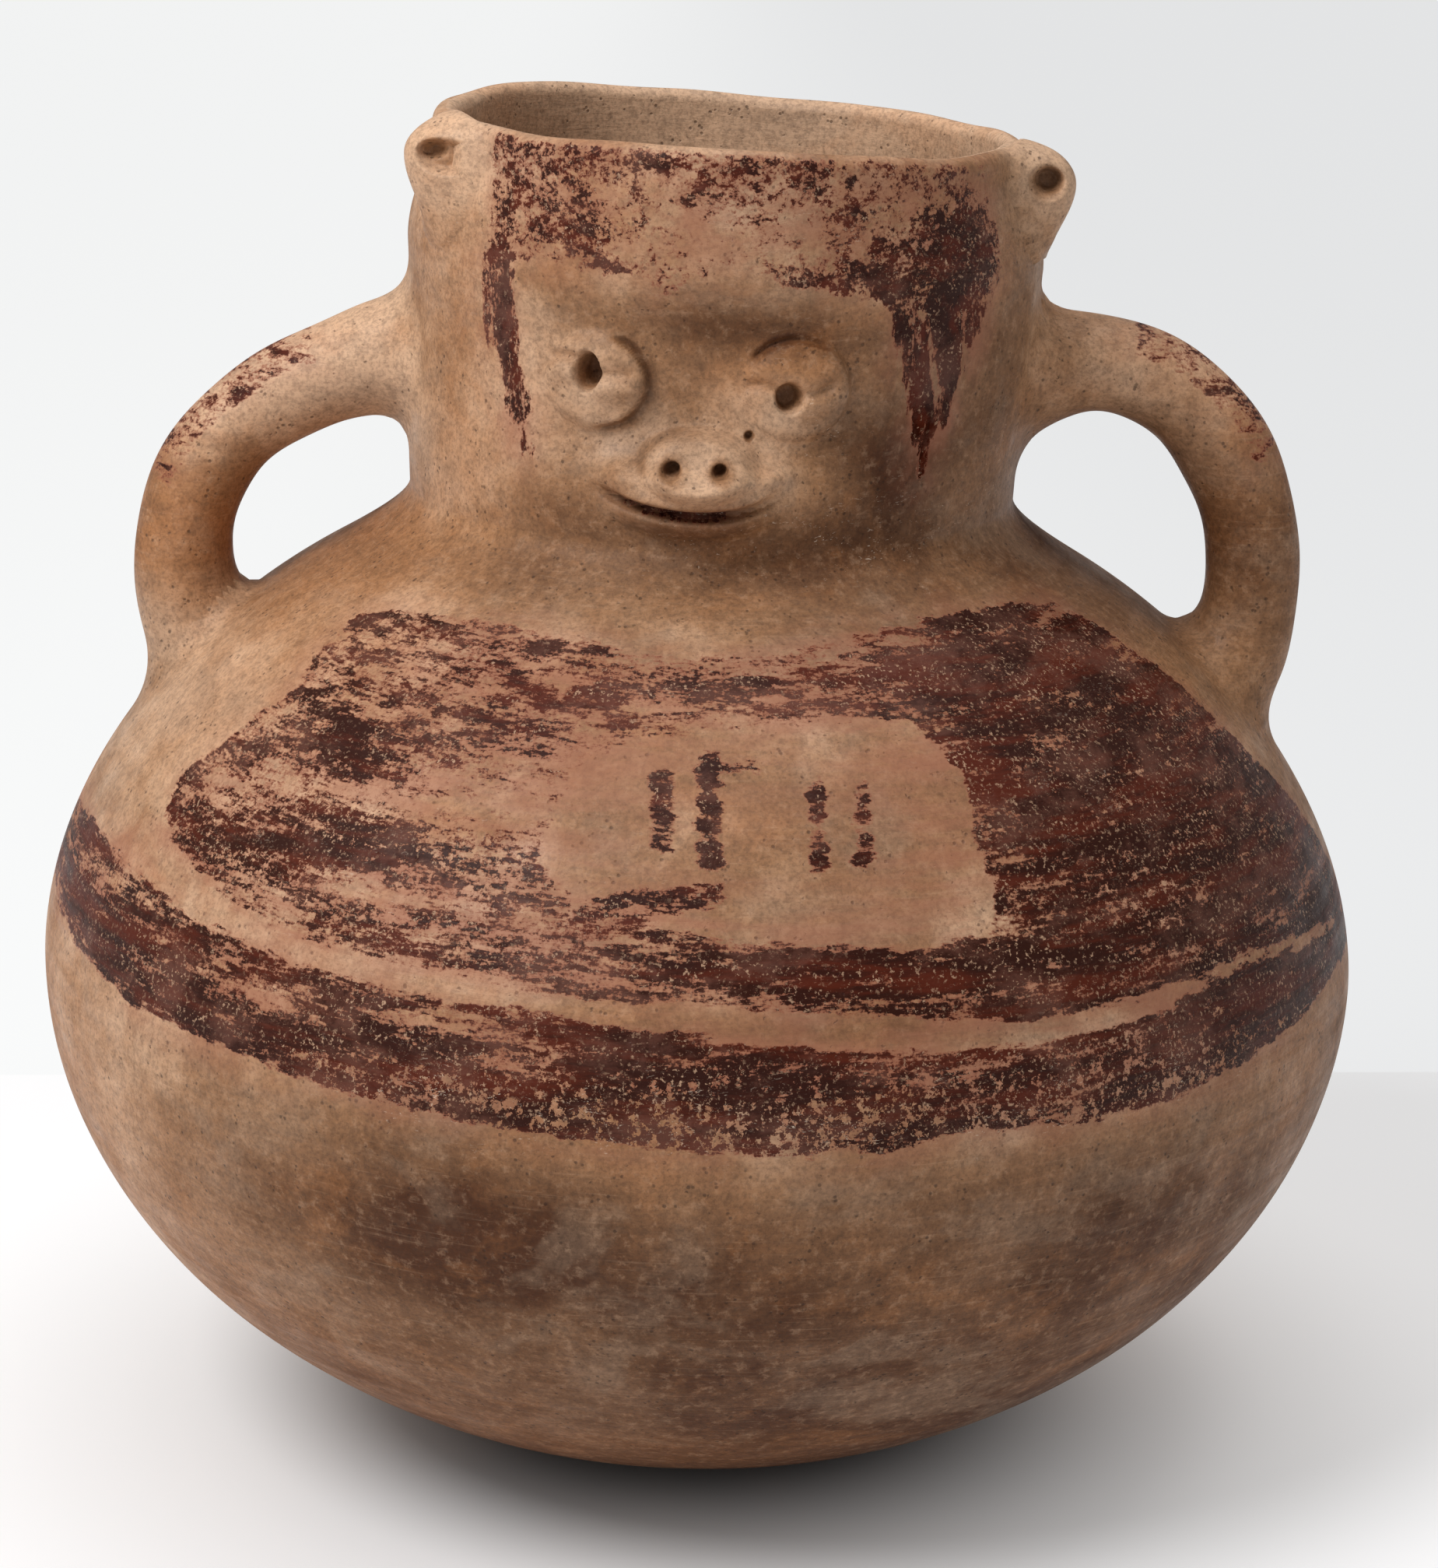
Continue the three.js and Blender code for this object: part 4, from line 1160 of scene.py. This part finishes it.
def slip_maps(name, places, outside):
    """All the maps of one piece's points, from the places they had before the jar leaned."""
    azimuth, radius, z = cylindrical(places)
    outside = np.broadcast_to(outside, z.shape)
    inside, garment, left = wall_slip(azimuth, z)
    if name in HANDLE_SLIP:
        inside, left = handle_slip(name, places), np.full(len(z), NECK_LEFT)
    on_skin = 14 * (outside - 0.74)
    inside, garment = np.minimum(inside, on_skin), np.minimum(np.maximum(garment, inside), 2 * on_skin)
    # The face's pits, folds, nostrils, the snout's left flank and the mouth's slit, and the ears' pits, are
    # darkened: painted shade, with grime that keeps in the hollows.
    hollow_shade_and_dirt = np.where(on_face(azimuth, z), 0.9 * face_hollow_shade_and_dirt(azimuth, z), 0)
    if name in EARS:
        hollow_shade_and_dirt = 1.1 * np.clip(ear_holes(EARS[name], places) / 6, 0, 1)
    flat = rise(radius, 20, 60) if name == "base_bowl" else 1.0
    # The inside of the neck is paler: unsmoked clay, and painted light where light falls in from above.
    unsmoked_and_lit_inside = (outside < 0.5) & (z > 200)
    return dict(
        slip=np.clip(inside, -FAR_OUT, FAR_OUT), garment=np.clip(garment, -FAR_OUT, FAR_OUT),
        smoke_and_shade=spots(azimuth, z, SMOKE_AND_SHADE) * flat - unsmoked_and_lit_inside + hollow_shade_and_dirt, warmth=spots(azimuth, z, WARMTH),
        left=np.clip(left, 0, 1), stain=np.clip(0.25 + spots(azimuth, z, STAIN), 0, 1),
        flecks=np.clip(spots(azimuth, z, FLECKS), 0, 1), brush=brush_run(name, places, azimuth, z),
    )


for name, (piece, _, places, outside) in PIECES.items():
    mesh = piece.data
    for map_name, values in slip_maps(name, places, outside).items():
        kind = "FLOAT_VECTOR" if values.ndim == 2 else "FLOAT"
        layer = mesh.attributes.new(map_name, kind, "POINT")
        layer.data.foreach_set("vector" if values.ndim == 2 else "value", values.astype(np.float32).ravel())
print("maps written on", len(PIECES), "pieces")

# %% [markdown]
# ## Fired clay and worn slip
#
# One recipe makes the three finishes, so that the colour runs on unbroken from piece to piece. It works in
# layers, as the jar was made: clay with its grains of temper, clouds of smoke from the fire mixed with
# painted shade, the stain that worn slip leaves, what remains of the slip itself, and pale flecks of lime on
# top. Every layer reads either the place in the jar or the maps above, so nothing slides when the jar is seen
# from another side.

# %% Helpers for node trees
def colour(red, green, blue):
    """A screen colour, 0 to 255, as the linear values that a shader wants."""
    parts = [v / 255 for v in (red, green, blue)]
    return tuple(v / 12.92 if v <= 0.04045 else ((v + 0.055) / 1.055) ** 2.4 for v in parts) + (1.0,)


class Recipe:
    """Adds nodes to a material, each fed by values or by other nodes' outputs."""

    def __init__(self, material):
        material.use_nodes = True
        self.tree = material.node_tree
        self.shader = self.tree.nodes["Principled BSDF"]
        self.place = self.node("TexCoord").outputs["Object"]

    def feed(self, socket, value):
        if isinstance(value, bpy.types.NodeSocket):
            self.tree.links.new(value, socket)
        else:
            socket.default_value = value

    def node(self, kind, inputs=(), **settings):
        """A new node with its settings. Its inputs are pairs of a name or number and a value."""
        made = self.tree.nodes.new("ShaderNode" + kind)
        for key, value in settings.items():
            setattr(made, key, value)
        for key, value in inputs:
            self.feed(made.inputs[key], value)
        return made

    def map(self, name, vector=False):
        return self.node("Attribute", attribute_name=name).outputs["Vector" if vector else "Fac"]

    def maths(self, operation, *values, clamp=False):
        return self.node("Math", enumerate(values), operation=operation, use_clamp=clamp).outputs[0]

    def plus(self, a, b, **options):
        return self.maths("ADD", a, b, **options)

    def minus(self, a, b, **options):
        return self.maths("SUBTRACT", a, b, **options)

    def times(self, a, b):
        return self.maths("MULTIPLY", a, b)

    def spread(self, value, low, high, to_low=0.0, to_high=1.0, kind="SMOOTHSTEP"):
        """Turns the range from low to high into another range, softly at both ends."""
        values = enumerate((value, low, high, to_low, to_high))
        return self.node("MapRange", values, interpolation_type=kind).outputs[0]

    def ramp(self, *values):
        """The same in a straight line."""
        return self.spread(*values, kind="LINEAR")

    def stretched(self, vector, scale, shift=(0, 0, 0)):
        inputs = (("Vector", vector), ("Location", shift), ("Scale", scale))
        return self.node("Mapping", inputs).outputs[0]

    def noise(self, vector, scale, detail, rough, distort=0.0):
        settings = zip(("Scale", "Detail", "Roughness", "Distortion"), (scale, detail, rough, distort))
        return self.node("TexNoise", (("Vector", vector), *settings)).outputs["Fac"]

    def grains(self, vector, scale):
        return self.node("TexVoronoi", (("Vector", vector), ("Scale", scale))).outputs["Distance"]

    def blend(self, share, first, second):
        """The first colour where the share is 0, the second where it is 1."""
        return self.node("Mix", ((0, share), (6, first), (7, second)), data_type="RGBA").outputs[2]

    def bumps(self, height, strength, distance):
        inputs = (("Height", height), ("Strength", strength), ("Distance", distance))
        return self.node("Bump", inputs).outputs[0]


# %% The recipe for the jar's clay
PALE_CLAY, TAN_CLAY, SMOKED_AND_SHADED_CLAY = colour(210, 172, 140), colour(168, 123, 86), colour(80, 47, 28)
OCHRE, GREY_FILM, STAIN_COLOUR = colour(188, 126, 78), colour(152, 126, 104), colour(158, 103, 79)
DARK_SLIP, RED_SLIP, BLOOM = colour(38, 10, 5), colour(92, 33, 16), colour(106, 68, 56)
RED_FILM = colour(122, 58, 38)
LIME, SPECK, SOOT = colour(228, 208, 186), colour(186, 150, 122), colour(52, 35, 26)
BUMP_STRENGTH, BUMP_DEPTH = 0.6, 0.0009


def wear_textures(r):
    """The patterns that several layers share."""
    brush = r.map("brush", vector=True)
    return dict(
        brush=brush, cloud=r.noise(r.place, 11, 4, 0.6, 0.3), mottle=r.noise(r.place, 60, 5, 0.62, 0.2),
        tint=r.noise(r.stretched(r.place, (26, 26, 40), (4, 2, 7)), 1.0, 5, 0.66, 0.4),
        grit=r.noise(r.place, 380, 4, 0.7), grain=r.noise(r.place, 1100, 3, 0.7),
        burnish=r.noise(r.stretched(brush, (16, 16, 240)), 1.0, 5, 0.62, 0.3),
        fine_burnish=r.noise(r.stretched(brush, (60, 60, 1300)), 1.0, 4, 0.65),
    )


def fired_clay(r, t):
    """Clay that is pale where the fire was clean, dark where smoke caught it, and dark where shade is
    painted: towards the bottom, round the foot of the neck, under the brow and in the hollows.
    """
    smoke_and_shade = r.plus(r.map("smoke_and_shade"), r.ramp(t["cloud"], 0.34, 0.7, -0.22, 0.28))
    smoke_and_shade = r.plus(smoke_and_shade, r.ramp(t["mottle"], 0.3, 0.7, -0.19, 0.19))
    base = r.blend(r.spread(smoke_and_shade, -0.35, 0.3), PALE_CLAY, TAN_CLAY)
    base = r.blend(r.ramp(smoke_and_shade, 0.0, 1.05), base, SMOKED_AND_SHADED_CLAY)
    base = r.blend(r.times(r.map("warmth"), r.spread(t["tint"], 0.38, 0.62, 0.25, 0.95)), base, OCHRE)
    for texture, low, high, least, most, tone in (
        ("tint", 0.50, 0.64, 0.0, 0.33, GREY_FILM), ("tint", 0.48, 0.34, 0.0, 0.245, OCHRE),
        ("burnish", 0.38, 0.64, 0.0, 0.09, SOOT), ("fine_burnish", 0.56, 0.74, 0.0, 0.16, PALE_CLAY),
        ("grit", 0.34, 0.56, 0.252, 0.0, SOOT), ("grit", 0.52, 0.70, 0.0, 0.18, PALE_CLAY),
        ("grain", 0.36, 0.56, 0.30, 0.0, SOOT),
    ):
        base = r.blend(r.spread(t[texture], low, high, least, most), base, tone)
    return base, smoke_and_shade


def temper(r):
    """Grains of temper, a millimetre or less across."""
    chosen = r.spread(r.noise(r.place, 210, 3, 0.6), 0.56, 0.60)
    return r.times(r.spread(r.grains(r.place, 620), 0.14, 0.34, 1.0, 0.0), chosen)


def slip_thickness(r, t):
    """What is left of the slip: long brush marks, smaller ones, grain, ragged edges and eaten spots."""
    thickness = r.ramp(r.map("left"), 0.0, 1.0, -1.6, 1.6)
    for scale, shift, detail, weight in (
        ((30, 30, 140), (0, 0, 0), 4, 3.0), ((100, 100, 360), (5, 2, 9), 6, 3.0),
        ((350, 350, 980), (1, 8, 3), 3, 2.0),
    ):
        wear = r.noise(r.stretched(t["brush"], scale, shift), 1.0, detail, 0.64, 0.4)
        thickness = r.minus(thickness, r.ramp(wear, 0.0, 1.0, -weight, weight))
    thickness = r.minus(thickness, r.ramp(t["grain"], 0.0, 1.0, -1.6, 1.6))
    edge_wear = r.noise(r.stretched(t["brush"], (150, 150, 300), (4, 4, 1)), 1.0, 4, 0.65)
    edge = r.plus(r.map("slip"), r.ramp(edge_wear, 0.3, 0.7, -1.3, 1.0))
    thickness = r.minus(thickness, r.spread(edge, -2.6, 1.0, 5.0, 0.0))
    eaten = r.spread(r.noise(r.place, 420, 4, 0.75), 0.52, 0.60, 0.0, 3.6)
    return r.minus(thickness, r.times(eaten, r.map("flecks")))


def stained(r, t, base, thickness):
    """The stain of slip that has gone, and the thin film beside what is left."""
    ragged = r.plus(r.map("garment"), r.ramp(t["mottle"], 0.3, 0.7, -3.5, 3.5))
    streaks = r.noise(r.stretched(t["brush"], (26, 26, 120)), 1.0, 5, 0.65)
    stain = r.times(r.spread(ragged, -10.0, 3.0), r.map("stain"))
    stain = r.times(stain, r.spread(streaks, 0.36, 0.6, 0.1, 0.8))
    film = r.times(r.spread(thickness, -1.5, 0.4), r.spread(t["tint"], 0.38, 0.6, 0.35, 0.8))
    base = r.blend(r.maths("MAXIMUM", stain, film), base, STAIN_COLOUR)
    return r.blend(r.spread(thickness, -0.8, 0.2, 0.0, 0.55), base, RED_FILM)


def slip_colours(r, t):
    """Brown-black slip, redder where it is thin, with a dull bloom in places."""
    red = r.spread(r.noise(r.stretched(t["brush"], (30, 30, 150), (3, 1, 7)), 1.0, 5, 0.66), 0.44, 0.62)
    bloom_spots = r.noise(r.stretched(r.place, (44, 44, 70), (2, 7, 4)), 1.0, 6, 0.72, 0.3)
    tone = r.blend(r.times(red, 0.65), DARK_SLIP, RED_SLIP)
    return r.blend(r.times(r.spread(bloom_spots, 0.46, 0.64), 0.55), tone, BLOOM)


def pale_points(r, t, surface, thickness):
    """Specks where grains stand through the slip."""
    stand_out = r.spread(r.noise(r.place, 1000, 3, 0.7), 0.57, 0.64)
    places = r.noise(r.stretched(t["brush"], (60, 60, 200), (8, 3, 1)), 1.0, 4, 0.6)
    points = r.times(stand_out, r.spread(places, 0.40, 0.62, 0.15, 0.8))
    return r.blend(r.times(points, r.spread(thickness, -0.6, 0.6)), surface, SPECK)


def lime_flecks(r):
    """Pale flecks and scratches of lime that the ground left."""
    scratch = r.noise(r.stretched(r.place, (420, 420, 1200), (3, 3, 3)), 1.0, 3, 0.6, 2.2)
    patch = r.spread(r.noise(r.place, 120, 5, 0.75), 0.46, 0.60)
    return r.times(r.times(r.spread(scratch, 0.62, 0.68), patch), r.map("flecks"))


def clay_recipe(name):
    material = bpy.data.materials.new(name)
    r = Recipe(material)
    t = wear_textures(r)
    base, smoke_and_shade = fired_clay(r, t)
    t["speck"] = temper(r)
    base = r.blend(r.times(t["speck"], 0.6), base, SOOT)
    thickness = slip_thickness(r, t)
    t["painted"] = r.spread(thickness, -0.1, 0.5)
    surface = r.blend(r.times(t["painted"], 0.96), stained(r, t, base, thickness), slip_colours(r, t))
    fleck = lime_flecks(r)
    surface = r.blend(r.times(fleck, 0.6), pale_points(r, t, surface, thickness), LIME)
    r.feed(r.shader.inputs["Base Color"], surface)

    # Gloss: burnished clay is satin, slip a little glossier, flecks and grain dull.
    gloss = r.ramp(t["burnish"], 0.3, 0.7, 0.44, 0.62)
    gloss = r.plus(gloss, r.ramp(t["mottle"], 0.35, 0.65, -0.05, 0.07))
    gloss = r.minus(gloss, r.times(t["painted"], 0.06))
    r.feed(r.shader.inputs["Roughness"], r.plus(gloss, r.times(fleck, 0.3), clamp=True))
    sheen = r.minus(r.spread(smoke_and_shade, 0.2, 1.0, 0.22, 0.10), r.times(t["painted"], 0.10), clamp=True)
    r.feed(r.shader.inputs["Specular IOR Level"], sheen)

    height = 0.0
    for texture, weight in (
        ("burnish", 0.55), ("mottle", 0.6), ("fine_burnish", 0.12), ("painted", 0.10),
        ("speck", -0.25), ("grit", 0.16), ("grain", 0.12),
    ):
        height = r.plus(r.times(t[texture], weight), height)
    r.feed(r.shader.inputs["Normal"], r.bumps(height, BUMP_STRENGTH, BUMP_DEPTH))
    return material


FINISHES = {slot: clay_recipe(slot) for slot in ("bare_clay", "neck_clay", "slipped_clay")}
for piece, slot, _, _ in PIECES.values():
    piece.data.materials.append(FINISHES[slot])
print("finishes:", list(FINISHES))

# %% [markdown]
# ## Table, light and camera
#
# The jar stands on a pale table in soft daylight that comes from above and from the left. The floor is two
# pale tones that meet behind the jar, like a table in front of a wall, but lying flat, so that nothing hides
# the jar from behind. The floor also glows. Its glow is black right under the jar, a painted shadow, dim near
# the jar and bright farther out. Behind the jar it fades from left to right, a painted fall of light.

# %% Floor
FLOOR_SIZE, FLOOR_EDGE, FLOOR_GLOW, FLOOR_ROUGHNESS = 14, 0.226, 0.86, 0.7
TABLE, WALL = colour(212, 212, 213), colour(90, 90, 90)
LEFT_WALL_GLOW, RIGHT_WALL_GLOW = colour(252, 253, 253), colour(236, 237, 238)
SHADOW_UNDER_JAR, NEAR_TABLE_GLOW, FAR_TABLE_GLOW = (0, 0, 0, 1), (0.41, 0.41, 0.41, 1), (0.8, 0.8, 0.8, 1)
bm = bmesh.new()
bmesh.ops.create_grid(bm, x_segments=1, y_segments=1, size=FLOOR_SIZE)
mesh = bpy.data.meshes.new("floor")
bm.to_mesh(mesh)
bm.free()
floor = put_in_scene("floor", mesh)
paint = bpy.data.materials.new("glowing_floor")
r = Recipe(paint)
split = r.node("SeparateXYZ", [(0, r.place)])
far = r.maths("GREATER_THAN", split.outputs["Y"], FLOOR_EDGE)
r.feed(r.shader.inputs["Base Color"], r.blend(far, TABLE, WALL))
# Painted fall of light: the far part of the floor glows brighter on the left than on the right.
wall_light = r.blend(r.spread(split.outputs["X"], -0.3, 0.35), LEFT_WALL_GLOW, RIGHT_WALL_GLOW)
# Painted shadow: the near floor's glow is black right under the jar, dim near it and bright farther out.
from_jar = r.node("VectorMath", [(0, r.place)], operation="LENGTH").outputs["Value"]
table_glow_and_shadow = r.blend(r.spread(from_jar, 0.055, 0.15), SHADOW_UNDER_JAR, NEAR_TABLE_GLOW)
table_glow_and_shadow = r.blend(r.spread(from_jar, 0.45, 1.6), table_glow_and_shadow, FAR_TABLE_GLOW)
r.feed(r.shader.inputs["Emission Color"], r.blend(far, table_glow_and_shadow, wall_light))
r.shader.inputs["Emission Strength"].default_value = FLOOR_GLOW
r.shader.inputs["Roughness"].default_value = FLOOR_ROUGHNESS
mesh.materials.append(paint)

# %% Light
SKY_COLOUR, SKY_STRENGTH = (1.0, 0.99, 0.98, 1), 0.24
world = bpy.data.worlds.new("daylight")
bpy.context.scene.world = world
world.use_nodes = True
sky = world.node_tree.nodes["Background"]
sky.inputs["Color"].default_value = SKY_COLOUR
sky.inputs["Strength"].default_value = SKY_STRENGTH


def soft_light(name, place, target, size, power):
    lamp = bpy.data.lights.new(name, "AREA")
    lamp.shape, lamp.size, lamp.energy = "DISK", size, power
    holder = put_in_scene(name, lamp)
    holder.location = place
    holder.rotation_euler = (Vector(target) - Vector(place)).to_track_quat("-Z", "Y").to_euler()


soft_light("window_left", (-0.75, -0.7, 1.3), (0, 0, 0.2), size=0.7, power=17)
soft_light("ceiling", (0.15, 0.1, 1.5), (0, 0, 0.15), size=1.2, power=9)
print("lights: a window on the left and the ceiling")

# %% Camera
CAMERA_PLACE, CAMERA_LENS = (0, -0.8946, 0.4043), 86.87
PITCH_DOWN, ROLL = 0.2699, -0.006
camera_data = bpy.data.cameras.new("camera")
camera_data.sensor_width = 36
camera_data.lens = CAMERA_LENS
camera = put_in_scene("camera", camera_data)
camera.location = CAMERA_PLACE
camera.rotation_euler = (math.pi / 2 - PITCH_DOWN, 0, ROLL)
bpy.context.scene.camera = camera
bpy.context.scene.view_settings.view_transform = "Standard"
print("camera stands", -CAMERA_PLACE[1], "m in front of the jar's axis")
